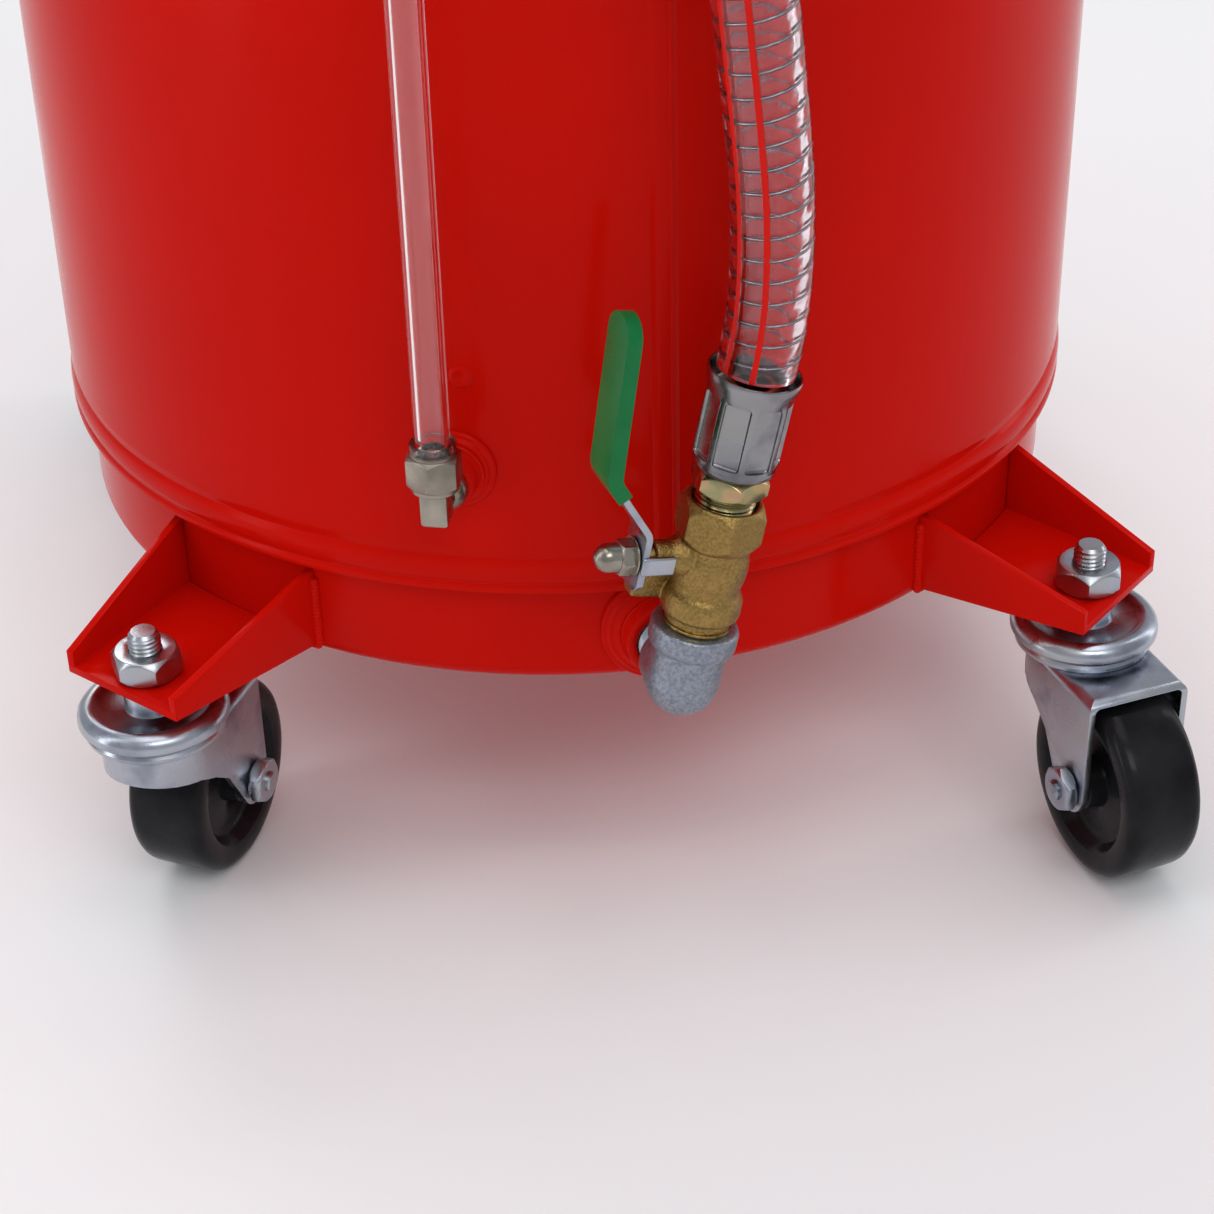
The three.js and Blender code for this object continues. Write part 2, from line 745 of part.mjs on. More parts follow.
// A spring clip that holds the hose's upper end off the shell.
function hoseHook() {
  const axisX = hoseRun[12][0];
  const axisY = hoseRun[12][1];
  const inner = hoseRadius + 0.9;
  const outer = inner + 2.5;
  const clip = plate([
    ...arc(axisX, axisY, outer, -30, 210, 12),
    ...arc(axisX, axisY, inner, 210, -30, 12),
  ], hookHeight - 10, hookHeight + 10);
  const stalk = block(axisX - 8, axisX + 8, axisY + inner + 0.5, -tankRadius + 6,
    hookHeight - 10, hookHeight + 10);
  return clip.add(stalk).subtract(wallCutter(tankRadius));
}

// ---- Sight gauge --------------------------------------------------------------

// One end fitting of the sight tube, modelled with its centre at the origin, the
// nut along +Z and its arm towards +Y, into the boss.
function gaugeFitting() {
  const reach = gaugeReach - gaugeFace;
  const stub = block(-4.6, 4.6, -4.6, 4.6, -5, 10 - gap);
  const spigot = rod(gaugeTubeBore - gap, 9, 22, 12);
  const flange = turned([[0, reach - 6], [6.5, reach - 6], [7.6, reach - 3], [7.6, reach - gap],
    [0, reach - gap]], 16).rotate([-90, 0, 0]);
  const arm = rod(4.4, 0, reach + 9, 16).rotate([-90, 0, 0]);
  const wayUp = rod(2, 0, 30, 10);
  const wayIn = rod(2, 0, reach + 20, 10).rotate([-90, 0, 0]);
  return stub.add(spigot).add(flange).add(arm).subtract(wayUp).subtract(wayIn);
}

function gaugeNut() {
  const from = 10;
  const nut = hexagon(gaugeNutFlats, from, from + gaugeNutHeight)
    .intersect(rod(9.3, from - 1, from + 20, 20));
  const lip = rod(7.8, from + gaugeNutHeight - 1, from + gaugeNutHeight + 4, 20);
  return nut.add(lip).subtract(rod(gaugeTubeRadius + gap, from - 1, from + 30, 20));
}

function sightTube() {
  const from = gaugeLowHeight + 11;
  const to = gaugeHighHeight - 11;
  return turnedRing([[gaugeTubeBore, from], [gaugeTubeRadius, from], [gaugeTubeRadius, to],
    [gaugeTubeBore, to]], 20);
}

// ---- Mast, funnel and handle --------------------------------------------------

function mastGuide() {
  const crown = domeBase + domeHeight;
  const bore = mastRadius + gap;
  const top = crown + guideHeight;
  const body = turnedRing([
    [bore, crown - 14],
    [guideRadius - 4, crown - 14],
    [guideRadius - 4, crown + gap],
    [guideRadius + 6, crown + gap],
    [guideRadius + 6, crown + 4],
    [guideRadius, crown + 9],
    [guideRadius, top],
    [bore, top],
  ], 24);
  const bossZ = top - 18;
  const boss = rod(9, guideRadius - 2, guideRadius + 8, 16)
    .rotate([0, -90, 0]).translate([0, 0, bossZ]);
  const hole = rod(4 + gap, 0, 60, 12).rotate([0, -90, 0]).translate([0, 0, bossZ]);
  return body.add(boss).subtract(hole);
}

function clampKnob() {
  const bossZ = domeBase + domeHeight + guideHeight - 18;
  const screw = rod(4, mastRadius + gap, guideRadius + 12, 12);
  const head = turned([
    [0, guideRadius + 9],
    [12, guideRadius + 9],
    [19, guideRadius + 13],
    [19, guideRadius + 22],
    [15, guideRadius + 25],
    [0, guideRadius + 25],
  ], 18);
  return screw.add(head).rotate([0, -90, 0]).translate([0, 0, bossZ]);
}

function mastTube() {
  const inner = mastRadius - mastWall;
  return turnedRing([[inner, mastBottom], [mastRadius, mastBottom], [mastRadius, mastTop],
    [inner, mastTop]], 24);
}

function funnelBowl() {
  const neck = mastRadius + gap;
  const floor = mastTop + 6;
  const rim = floor + bowlDepth;
  const outer = [
    [neck + 3, mastTop - 30],
    [neck + 3, floor - 2],
    [60, floor + 8],
    [bowlRadius - 30, floor + 40],
    [bowlRadius - 8, floor + 62],
    [bowlRadius, rim - 4],
    [bowlRadius + 4, rim],
  ];
  const inner = [
    [bowlRadius - bowlSheet, rim],
    [bowlRadius - 8 - bowlSheet, floor + 63],
    [bowlRadius - 31, floor + 42],
    [60, floor + 10],
    [mastRadius - mastWall, floor],
    [mastRadius - mastWall, mastTop + gap],
    [neck, mastTop + gap],
    [neck, mastTop - 30],
  ];
  return turnedRing([...outer, ...inner]);
}

function strainer() {
  const at = mastTop + 6 + bowlDepth - strainerDepth;
  const body = rod(strainerRadius, at, at + 2, facets);
  const foot = turnedRing([
    [strainerRadius - 8, at - 8],
    [strainerRadius - 5, at - 8],
    [strainerRadius - 5, at + 1],
    [strainerRadius - 8, at + 1],
  ]);
  let plateWithHoles = body.add(foot);
  for (const [count, reach] of [[4, 30], [8, 62]]) {
    for (let i = 0; i < count; i += 1) {
      const a = (2 * Math.PI * i) / count;
      const hole = rod(6, at - 1, at + 3, 6);
      plateWithHoles = plateWithHoles.subtract(
        hole.translate([reach * Math.cos(a), reach * Math.sin(a), 0]));
    }
  }
  return plateWithHoles;
}

// A tube bent into a U, welded by its two ends to the back of the shell.
function pushHandle() {
  const half = handleWidth / 2;
  const corner = handleCorner;
  const wall = Math.sqrt(tankRadius ** 2 - half ** 2) - 12;
  const path = new THREE.CurvePath();
  const line = (a, b) => {
    path.add(new THREE.LineCurve3(new THREE.Vector3(...a), new THREE.Vector3(...b)));
  };
  const bend = (...three) => {
    path.add(new THREE.QuadraticBezierCurve3(...three.map((p) => new THREE.Vector3(...p))));
  };
  const back = handleReach;
  line([-half, wall, handleLow], [-half, back - corner, handleLow]);
  bend(
    [-half, back - corner, handleLow], [-half, back, handleLow], [-half, back, handleLow + corner]);
  line([-half, back, handleLow + corner], [-half, back, handleTop - corner]);
  bend(
    [-half, back, handleTop - corner], [-half, back, handleTop], [-half + corner, back, handleTop]);
  line([-half + corner, back, handleTop], [half - corner, back, handleTop]);
  bend([half - corner, back, handleTop], [half, back, handleTop], [half, back, handleTop - corner]);
  line([half, back, handleTop - corner], [half, back, handleLow + corner]);
  bend([half, back, handleLow + corner], [half, back, handleLow], [half, back - corner, handleLow]);
  line([half, back - corner, handleLow], [half, wall, handleLow]);
  const tube = swept(path, handleRadius, 32, 8, handleRadius - handleWall);
  return tube.subtract(wallCutter(tankRadius));
}

// ---- Fittings on the tank's top -----------------------------------------------
// Each stands on the dome at a reach from the tank's axis.

const topFittings = [
  { azimuth: -35, reach: 72 },
  { azimuth: -100, reach: 70 },
  { azimuth: 165, reach: 66 },
];

function relief() {
  return turned([
    [0, -6],
    [3.7, -6],
    [3.7, 1],
    [8, 1],
    [8, 12],
    [6, 14],
    [6, 26],
    [8, 27],
    [8, 33],
    [0, 34],
  ], 16);
}

function pressureGauge() {
  const stem = rod(3.7, -6, 3, 12).add(hexagon(14, 1, 12));
  const neck = rod(5, 11, 20, 12);
  const dialCase = rod(21, -12, 12, 24).rotate([90, 0, 0]).translate([0, 0, 38]);
  return stem.add(neck).add(dialCase);
}

function airValve() {
  const body = rod(3.7, -6, 3, 12)
    .add(hexagon(17, 1, 12))
    .add(rod(9, 11, 30, 16))
    .add(hexagon(17, 29, 38))
    .add(turned([[0, 37], [5, 37], [5, 44], [6, 46], [4, 52], [6, 54], [5.6, 62], [0, 62]], 12));
  const neck = rod(5.5, 0, 13, 12).rotate([0, 90, 0]).translate([0, 0, 20]);
  const stemHole = rod(2.6 + gap, 4, 20, 12).rotate([0, 90, 0]).translate([0, 0, 20]);
  return body.add(neck).subtract(stemHole);
}

function airLever() {
  const stem = rod(2.6, 4.5, 15, 12).rotate([0, 90, 0]).translate([0, 0, 20]);
  const blade = block(13.4, 17, -4.5, 4.5, 14, 58);
  return stem.add(blade);
}

// ---- Assembly -----------------------------------------------------------------

const tank = new THREE.Group();

tank.add(piece("tank_shell", tankShell(), redPaint()));
tank.add(piece("bottom_head", bottomHead(), redPaint()));
tank.add(piece("top_head", topHead(), redPaint()));

const casters = [
  { corner: "front_right", azimuth: 45, trail: 13.3 },
  { corner: "rear_right", azimuth: 135, trail: 168 },
  { corner: "rear_left", azimuth: -135, trail: -160 },
  { corner: "front_left", azimuth: -45, trail: 153 },
];
for (const { corner, azimuth, trail } of casters) {
  const leg = atAzimuth(azimuth);
  leg.add(piece(`leg_${corner}`, legBracket(), redPaint()));
  const swivel = new THREE.Group();
  swivel.position.set(0, -stemReach, 0);
  leg.add(swivel);
  swivel.add(piece(`caster_stem_${corner}`, casterStem(), zinc()));
  const nutFrom = casterHeight + legSheet + gap;
  const nut = hexNut(stemNutFlats, stemRadius + gap, nutFrom, nutFrom + stemNutHeight);
  swivel.add(piece(`stem_nut_${corner}`, nut, zinc()));
  // The fork trails along its own +X; the trail's azimuth is measured from -Y.
  const fork = new THREE.Group();
  fork.rotation.z = rad(trail - 90 - azimuth);
  swivel.add(fork);
  fork.add(piece(`fork_${corner}`, casterFork(), zinc()));
  fork.add(piece(`axle_bolt_${corner}`, axleBolt(), zinc()));
  fork.add(piece(`wheel_${corner}`, casterWheel(), blackPlastic()));
  tank.add(leg);
}

const outlet = atAzimuth(outletAzimuth);
const outletBoss = weldBoss(outletFace, outletBossRadius, outletBossToe, pipeRadius, headRadius,
  shellBottom - gap - outletHeight);
const bossMesh = piece("outlet_boss", outletBoss, redPaint());
bossMesh.position.z = outletHeight;
outlet.add(bossMesh);
const valveLine = new THREE.Group();
valveLine.position.set(0, -elbowCentre, outletHeight);
valveLine.rotation.y = rad(valveLean);
outlet.add(valveLine);
valveLine.add(piece("street_elbow", streetElbow(), galvanised()));
valveLine.add(piece("valve_body", valveBody(), brass()));
valveLine.add(piece("hose_nipple", hoseNipple(), yellowZinc()));
valveLine.add(piece("hose_ferrule", hoseFerrule(), zinc()));
const stemGroup = new THREE.Group();
stemGroup.rotation.z = rad(valveTurn);
valveLine.add(stemGroup);
stemGroup.add(piece("valve_ball", valveBall(), chrome()));
stemGroup.add(piece("valve_stem", valveStem(), brass()));
stemGroup.add(piece("valve_lever", valveLever(), zinc()));
stemGroup.add(piece("lever_grip", leverGrip(), greenVinyl()));
stemGroup.add(piece("lever_nut", leverNut(), nickel()));
tank.add(outlet);

tank.add(piece("drain_hose", drainHose(), clearPlastic()));
tank.add(piece("hose_coil", hoseCoil(), clearPlastic()));
tank.add(piece("hose_hook", hoseHook(), redPaint()));
const nozzleMesh = piece("hose_nozzle", nozzle(), zinc());
const nozzlePlace = nozzleFrame();
nozzleMesh.quaternion.copy(nozzlePlace.turn);
nozzleMesh.position.copy(nozzlePlace.end);
tank.add(nozzleMesh);

const gauge = atAzimuth(gaugeAzimuth);
for (const [level, height] of [["lower", gaugeLowHeight], ["upper", gaugeHighHeight]]) {
  const boss = weldBoss(gaugeFace, gaugeBossRadius, gaugeBossToe, 4.4 + gap, tankRadius);
  const bossPiece = piece(`gauge_boss_${level}`, boss, redPaint());
  bossPiece.position.z = height;
  gauge.add(bossPiece);
  // The upper fitting is the lower one turned over.
  const end = new THREE.Group();
  end.position.set(0, -gaugeReach, height);
  if (level === "upper") end.rotation.y = Math.PI;
  end.add(piece(`gauge_fitting_${level}`, gaugeFitting(), nickel()));
  end.add(piece(`gauge_nut_${level}`, gaugeNut(), nickel()));
  gauge.add(end);
}
const tubePiece = piece("sight_tube", sightTube(), clearPlastic());
tubePiece.position.set(0, -gaugeReach, 0);
gauge.add(tubePiece);
tank.add(gauge);

tank.add(piece("mast_guide", mastGuide(), redPaint()));
tank.add(piece("clamp_knob", clampKnob(), blackPlastic()));
tank.add(piece("mast_tube", mastTube(), chrome()));
tank.add(piece("funnel_bowl", funnelBowl(), redPaint()));
tank.add(piece("funnel_strainer", strainer(), zinc()));
tank.add(piece("push_handle", pushHandle(), redPaint()));

const fittings = [
  [["pressure_gauge", pressureGauge(), blackPlastic()]],
  [["relief_valve", relief(), brass()]],
  [["air_valve", airValve(), brass()], ["air_lever", airLever(), zinc()]],
];
fittings.forEach((pieces, i) => {
  const { azimuth, reach } = topFittings[i];
  const stand = atAzimuth(azimuth);
  const spot = new THREE.Group();
  spot.position.set(0, -reach, domeZ(reach - 10) + gap);
  for (const [name, body, look] of pieces) spot.add(piece(name, body, look));
  stand.add(spot);
  tank.add(stand);
});

export default tank;
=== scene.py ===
import bpy
import json
import math
from mathutils import Matrix, Vector

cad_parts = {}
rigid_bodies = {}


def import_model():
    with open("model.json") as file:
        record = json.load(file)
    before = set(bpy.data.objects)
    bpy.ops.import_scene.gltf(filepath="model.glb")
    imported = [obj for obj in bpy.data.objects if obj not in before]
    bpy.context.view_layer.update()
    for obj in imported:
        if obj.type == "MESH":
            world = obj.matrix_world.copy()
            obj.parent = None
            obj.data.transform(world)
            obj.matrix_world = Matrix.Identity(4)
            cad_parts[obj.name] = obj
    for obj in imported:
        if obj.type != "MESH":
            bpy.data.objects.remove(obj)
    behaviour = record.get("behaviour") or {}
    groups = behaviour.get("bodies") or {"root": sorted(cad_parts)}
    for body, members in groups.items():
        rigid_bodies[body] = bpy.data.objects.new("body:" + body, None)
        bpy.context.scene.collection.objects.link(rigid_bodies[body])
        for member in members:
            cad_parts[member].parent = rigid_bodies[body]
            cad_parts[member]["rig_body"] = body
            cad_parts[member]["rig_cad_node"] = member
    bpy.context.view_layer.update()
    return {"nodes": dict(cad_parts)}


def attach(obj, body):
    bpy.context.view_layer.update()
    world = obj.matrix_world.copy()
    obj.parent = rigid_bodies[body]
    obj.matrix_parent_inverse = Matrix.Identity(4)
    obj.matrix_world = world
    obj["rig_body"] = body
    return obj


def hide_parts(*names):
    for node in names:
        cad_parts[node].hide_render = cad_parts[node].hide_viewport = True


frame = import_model()
bpy.ops.object.select_all(action="DESELECT")

# ---------------------------------------------------------------------------
# Floor, light and camera
# A pale studio floor under tall soft boxes at both sides and a broad one above,
# seen from a little left of the front and about thirty degrees above.
# ---------------------------------------------------------------------------
CAMERA_PLACE = (-0.1057, -0.9679, 0.6303)
CAMERA_HEADING = 7.08   # degrees from +Y towards +X
CAMERA_TILT = 32.88     # degrees below the horizon
CAMERA_ROLL = -1.41
CAMERA_LENS = 77.85     # millimetres on a 36 mm sensor
FLOOR_SIZE = 14
LOOK_AT = Vector((0, 0, 0.4))

bpy.ops.object.camera_add(location=CAMERA_PLACE)
camera = bpy.context.object
camera.name = "studio_camera"
heading = Matrix.Rotation(-math.radians(CAMERA_HEADING), 4, "Z")
tilt = Matrix.Rotation(math.radians(90 - CAMERA_TILT), 4, "X")
roll = Matrix.Rotation(math.radians(CAMERA_ROLL), 4, "Z")
camera.matrix_world = Matrix.Translation(CAMERA_PLACE) @ heading @ tilt @ roll
camera.data.lens = CAMERA_LENS
camera.data.sensor_width = 36
camera.data.clip_start = 0.05
camera.data.clip_end = 50
bpy.context.scene.camera = camera


def soft_box(name, place, width, height, power, aim=LOOK_AT):
    bpy.ops.object.light_add(type="AREA", location=place)
    light = bpy.context.object
    light.name = name
    light.data.shape = "RECTANGLE"
    light.data.size = width
    light.data.size_y = height
    light.data.energy = power
    light.rotation_euler = (aim - Vector(place)).to_track_quat("-Z", "Y").to_euler()
    light.visible_camera = False


soft_box("left_box", (-1.0, -0.35, 0.7), 0.2, 1.5, 2.5)
soft_box("right_box", (1.15, 0.15, 0.7), 0.2, 1.5, 2.5)
soft_box("front_box", (0.3, -2.0, 2.2), 1.6, 1.0, 18)
soft_box("rear_box", (-0.6, 2.1, 1.9), 1.4, 1.2, 16)
soft_box("top_box", (0, 0, 2.9), 2.2, 2.2, 24)

studio_air = bpy.data.worlds.new("studio_air")
bpy.context.scene.world = studio_air
studio_air.use_nodes = True
sky = studio_air.node_tree.nodes["Background"]
sky.inputs["Color"].default_value = (0.92, 0.94, 1.0, 1)
sky.inputs["Strength"].default_value = 0.5
bpy.context.scene.view_settings.view_transform = "Standard"

bpy.ops.mesh.primitive_plane_add(size=FLOOR_SIZE, location=(0, 0, -0.0005))
floor = bpy.context.object
floor.name = "studio_floor"
floor_paint = bpy.data.materials.new("studio_floor")
floor_paint.use_nodes = True
floor_shader = floor_paint.node_tree.nodes["Principled BSDF"]
floor_shader.inputs["Base Color"].default_value = (0.9, 0.9, 0.9, 1)
floor_shader.inputs["Roughness"].default_value = 0.8
floor.data.materials.append(floor_paint)

# ---------------------------------------------------------------------------
# Drain hose
# Clear vinyl hose with a steel wire wound inside its wall and two red marker
# stripes. It climbs the front, crosses the shoulder and lies coiled on the tank.
# ---------------------------------------------------------------------------
HOSE_RADIUS = 0.0133
HOSE_BORE = 0.0100
HOSE_SIDES = 48
HOSE_STEP = 0.004
HOSE_TURNS = 1.25
HOSE_START = 50.6       # azimuth where the hose comes down on the tank, degrees
HOSE_COIL_RADIUS = 0.165
HOSE_COIL_PITCH = 0.028
HOSE_COIL_CURL = 0.240
HOSE_LIFT = 0.015       # hose axis above the dome
HOSE_LANDING = 0.3      # turns over which the hose settles on to the dome
HEAD_RADIUS = 0.1947
DOME_BASE = 0.660
DOME_HEIGHT = 0.042
HOSE_STRIPES = (252, 209)   # degrees round the hose
HOSE_STRIPE_WIDTH = 8.5      # degrees
WIRE_RADIUS = 0.0006
WIRE_COIL_RADIUS = 0.0117
WIRE_PITCH = 0.0079
WIRE_STEPS = 16             # for each turn
HOSE_RUN = [
    (0.0364, -0.2292, 0.2352),
    (0.0388, -0.2293, 0.248),
    (0.0404, -0.2300, 0.264),
    (0.0406, -0.2314, 0.282),
    (0.0398, -0.2330, 0.302),
    (0.0376, -0.2344, 0.325),
    (0.0346, -0.2354, 0.352),
    (0.0314, -0.2358, 0.382),
    (0.0284, -0.2352, 0.415),
    (0.0260, -0.2344, 0.450),
    (0.0243, -0.2334, 0.485),
    (0.0233, -0.2326, 0.520),
    (0.0230, -0.2320, 0.550),
    (0.0230, -0.2320, 0.580),
    (0.0266, -0.2277, 0.6183),
    (0.0370, -0.2149, 0.654),
    (0.0536, -0.1947, 0.6847),
    (0.0753, -0.1683, 0.7082),
    (0.1005, -0.1376, 0.723),
    (0.1275, -0.1047, 0.728),
]


def dome_height(radius):
    return DOME_BASE + DOME_HEIGHT * math.sqrt(max(0, 1 - (radius / HEAD_RADIUS) ** 2))


def coil_point(turns):
    curl = HOSE_COIL_CURL * max(0, turns - 1) ** 2
    radius = HOSE_COIL_RADIUS - HOSE_COIL_PITCH * turns - curl
    azimuth = math.radians(HOSE_START + 360 * turns)
    rest = dome_height(radius) + HOSE_LIFT
    down = min(1, turns / HOSE_LANDING)
    down = down * down * (3 - 2 * down)
    height = HOSE_RUN[-1][2] + (rest - HOSE_RUN[-1][2]) * down
    return Vector((radius * math.sin(azimuth), -radius * math.cos(azimuth), height))


def smooth_line(points, step):
    """A smooth line through the points, in even steps, and its length."""
    points = [Vector(p) for p in points]
    points = [2 * points[0] - points[1]] + points + [2 * points[-1] - points[-2]]
    fine = []
    for a, b, c, d in zip(points, points[1:], points[2:], points[3:]):
        for i in range(24):
            t = i / 24
            fine.append(0.5 * (2 * b + (c - a) * t + (2 * a - 5 * b + 4 * c - d) * t * t
                               + (3 * b - a - 3 * c + d) * t ** 3))
    fine.append(points[-2])
    lengths = [0.0]
    for p, q in zip(fine, fine[1:]):
        lengths.append(lengths[-1] + (q - p).length)
    count = max(2, round(lengths[-1] / step))
    line = []
    j = 0
    for i in range(count + 1):
        want = lengths[-1] * i / count
        while j < len(lengths) - 2 and lengths[j + 1] < want:
            j += 1
        share = (want - lengths[j]) / max(lengths[j + 1] - lengths[j], 1e-12)
        line.append(fine[j].lerp(fine[j + 1], min(1, share)))
    return line, lengths[-1]


def carried_frames(line):
    """Two axes across the line at each point, carried along it without twist."""
    frames = []
    side = Vector((1, 0, 0))
    for i in range(len(line)):
        ahead = (line[min(i + 1, len(line) - 1)] - line[max(i - 1, 0)]).normalized()
        side = (side - ahead * side.dot(ahead)).normalized()
        frames.append((side.copy(), ahead.cross(side)))
    return frames


def new_piece(name, points, faces):
    mesh = bpy.data.meshes.new(name)
    mesh.from_pydata([tuple(p) for p in points], [], faces)
    mesh.update()
    piece = bpy.data.objects.new(name, mesh)
    bpy.context.collection.objects.link(piece)
    return piece


def pick(piece):
    """Makes the piece the only one selected, and the active one."""
    bpy.ops.object.select_all(action="DESELECT")
    bpy.context.view_layer.objects.active = piece
    piece.select_set(True)


def shade(piece, angle=40):
    pick(piece)
    bpy.ops.object.shade_smooth_by_angle(angle=math.radians(angle))
    piece.select_set(False)


def shader_of(material):
    return material.node_tree.nodes["Principled BSDF"]


def noise(material, scale, detail=3, stretch=(1, 1, 1)):
    """Cloudy noise on the piece's own coordinates, so many clouds to the metre."""
    nodes = material.node_tree.nodes
    links = material.node_tree.links
    place = nodes.new("ShaderNodeTexCoord")
    mapping = nodes.new("ShaderNodeMapping")
    mapping.inputs["Scale"].default_value = stretch
    texture = nodes.new("ShaderNodeTexNoise")
    texture.inputs["Scale"].default_value = scale
    texture.inputs["Detail"].default_value = detail
    links.new(place.outputs["Object"], mapping.inputs["Vector"])
    links.new(mapping.outputs["Vector"], texture.inputs["Vector"])
    return texture.outputs["Fac"]


def tint(material, value, stops):
    """Blends the base colour through (position, colour) stops along a value."""
    node = material.node_tree.nodes.new("ShaderNodeValToRGB")
    elements = node.color_ramp.elements
    elements[0].position = stops[0][0]
    elements[0].color = (*stops[0][1], 1)
    elements[1].position = stops[-1][0]
    elements[1].color = (*stops[-1][1], 1)
    for position, colour in stops[1:-1]:
        elements.new(position).color = (*colour, 1)
    material.node_tree.links.new(value, node.inputs["Fac"])
    base = shader_of(material).inputs["Base Color"]
    material.node_tree.links.new(node.outputs["Color"], base)


def vary_roughness(material, value, low, high):
    node = material.node_tree.nodes.new("ShaderNodeMapRange")
    node.inputs["From Min"].default_value = 0.3
    node.inputs["From Max"].default_value = 0.7
    node.inputs["To Min"].default_value = low
    node.inputs["To Max"].default_value = high
    material.node_tree.links.new(value, node.inputs["Value"])
    roughness = shader_of(material).inputs["Roughness"]
    material.node_tree.links.new(node.outputs["Result"], roughness)


def bump(material, value, strength, distance):
    node = material.node_tree.nodes.new("ShaderNodeBump")
    node.inputs["Strength"].default_value = strength
    node.inputs["Distance"].default_value = distance
    links = material.node_tree.links
    normal = shader_of(material).inputs["Normal"]
    if normal.is_linked:
        links.new(normal.links[0].from_socket, node.inputs["Normal"])
    links.new(value, node.inputs["Height"])
    links.new(node.outputs["Normal"], normal)


def finish(name, colour, rough, metallic=0.0, stops=(), spread=(), bumps=(), also=None):
    """A material. What follows a noise starts with the noise's own settings: its colour
    stops, the spread of its roughness and each of its bumps."""
    material = bpy.data.materials.new(name)
    material.use_nodes = True
    plain = {"Base Color": (*colour, 1), "Roughness": rough, "Metallic": metallic}
    for key, value in {**plain, **(also or {})}.items():
        shader_of(material).inputs[key].default_value = value
    if stops:
        tint(material, noise(material, *stops[0]), stops[1:])
    if spread:
        vary_roughness(material, noise(material, *spread[0]), *spread[1:])
    for clouds, strength, distance in bumps:
        bump(material, noise(material, *clouds), strength, distance)
    return material


def settle(piece, body, material, nodes=(), angle=0):
    """Gives a finished piece its smoothing, its finish and its place in the object."""
    if angle:
        shade(piece, angle)
    piece.data.materials.clear()
    piece.data.materials.append(material)
    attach(piece, body)
    if nodes:
        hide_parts(*nodes)


def stripe_material():
    """Clear, slightly pink vinyl with a faint haze and a wavy surface, and red stripes
    drawn along its own wrap."""
    material = finish("striped_vinyl", (0.97, 0.86, 0.90), 0.08,
                      spread=((30, 2), 0.05, 0.15), bumps=[((95, 2), 0.7, 0.0012)],
                      also={"Transmission Weight": 1.0, "IOR": 1.45})
    nodes = material.node_tree.nodes
    links = material.node_tree.links
    wrap = nodes.new("ShaderNodeUVMap")
    wrap.uv_map = "wrap"
    split = nodes.new("ShaderNodeSeparateXYZ")
    links.new(wrap.outputs["UV"], split.inputs["Vector"])
    masks = []
    for angle in HOSE_STRIPES:
        near = nodes.new("ShaderNodeMath")
        near.operation = "COMPARE"
        near.inputs[1].default_value = angle / 360
        near.inputs[2].default_value = HOSE_STRIPE_WIDTH / 2 / 360
        links.new(split.outputs["X"], near.inputs[0])
        masks.append(near.outputs["Value"])
    both = nodes.new("ShaderNodeMath")
    both.operation = "MAXIMUM"
    links.new(masks[0], both.inputs[0])
    links.new(masks[1], both.inputs[1])
    red = nodes.new("ShaderNodeBsdfPrincipled")
    red.inputs["Base Color"].default_value = (0.66, 0.008, 0.003, 1)
    red.inputs["Specular IOR Level"].default_value = 0.12
    red.inputs["Roughness"].default_value = 0.25
    mix = nodes.new("ShaderNodeMixShader")
    links.new(both.outputs["Value"], mix.inputs["Fac"])
    links.new(shader_of(material).outputs["BSDF"], mix.inputs[1])
    links.new(red.outputs["BSDF"], mix.inputs[2])
    links.new(mix.outputs["Shader"], nodes["Material Output"].inputs["Surface"])
    return material


hose_route = HOSE_RUN + [coil_point(i / 24) for i in range(1, round(24 * HOSE_TURNS) + 1)]
hose_line, hose_length = smooth_line(hose_route, HOSE_STEP)
hose_frames = carried_frames(hose_line)


def hose_wall():
    """The hose's wall, closed at both ends, with a map round and along it."""
    points = []
    for radius in (HOSE_RADIUS, HOSE_BORE):
        for centre, (side, up) in zip(hose_line, hose_frames):
            for k in range(HOSE_SIDES):
                a = 2 * math.pi * k / HOSE_SIDES
                points.append(centre + radius * (math.cos(a) * side + math.sin(a) * up))
    count = len(hose_line)
    faces = []
    around = []
    for layer in (0, 1):
        base = layer * count * HOSE_SIDES
        for i in range(count - 1):
            for k in range(HOSE_SIDES):
                a = base + i * HOSE_SIDES + k
                b = base + i * HOSE_SIDES + (k + 1) % HOSE_SIDES
                corners = (a, b, b + HOSE_SIDES, a + HOSE_SIDES)
                map_corners = ((k, i), (k + 1, i), (k + 1, i + 1), (k, i + 1))
                faces.append(corners if layer == 0 else corners[::-1])
                around.append(map_corners if layer == 0 else map_corners[::-1])
    for i in (0, count - 1):
        for k in range(HOSE_SIDES):
            o = i * HOSE_SIDES + k
            p = i * HOSE_SIDES + (k + 1) % HOSE_SIDES
            corners = (p, o, o + count * HOSE_SIDES, p + count * HOSE_SIDES)
            map_corners = ((k + 1, i), (k, i), (k, i), (k + 1, i))
            faces.append(corners if i == 0 else corners[::-1])
            around.append(map_corners if i == 0 else map_corners[::-1])
    piece = new_piece("drain_hose_wall", points, faces)
    wrap = piece.data.uv_layers.new(name="wrap")
    at = 0
    for corners in around:
        for k, i in corners:
            wrap.data[at].uv = (k / HOSE_SIDES, i / (count - 1))
            at += 1
    shade(piece, 60)
    return piece


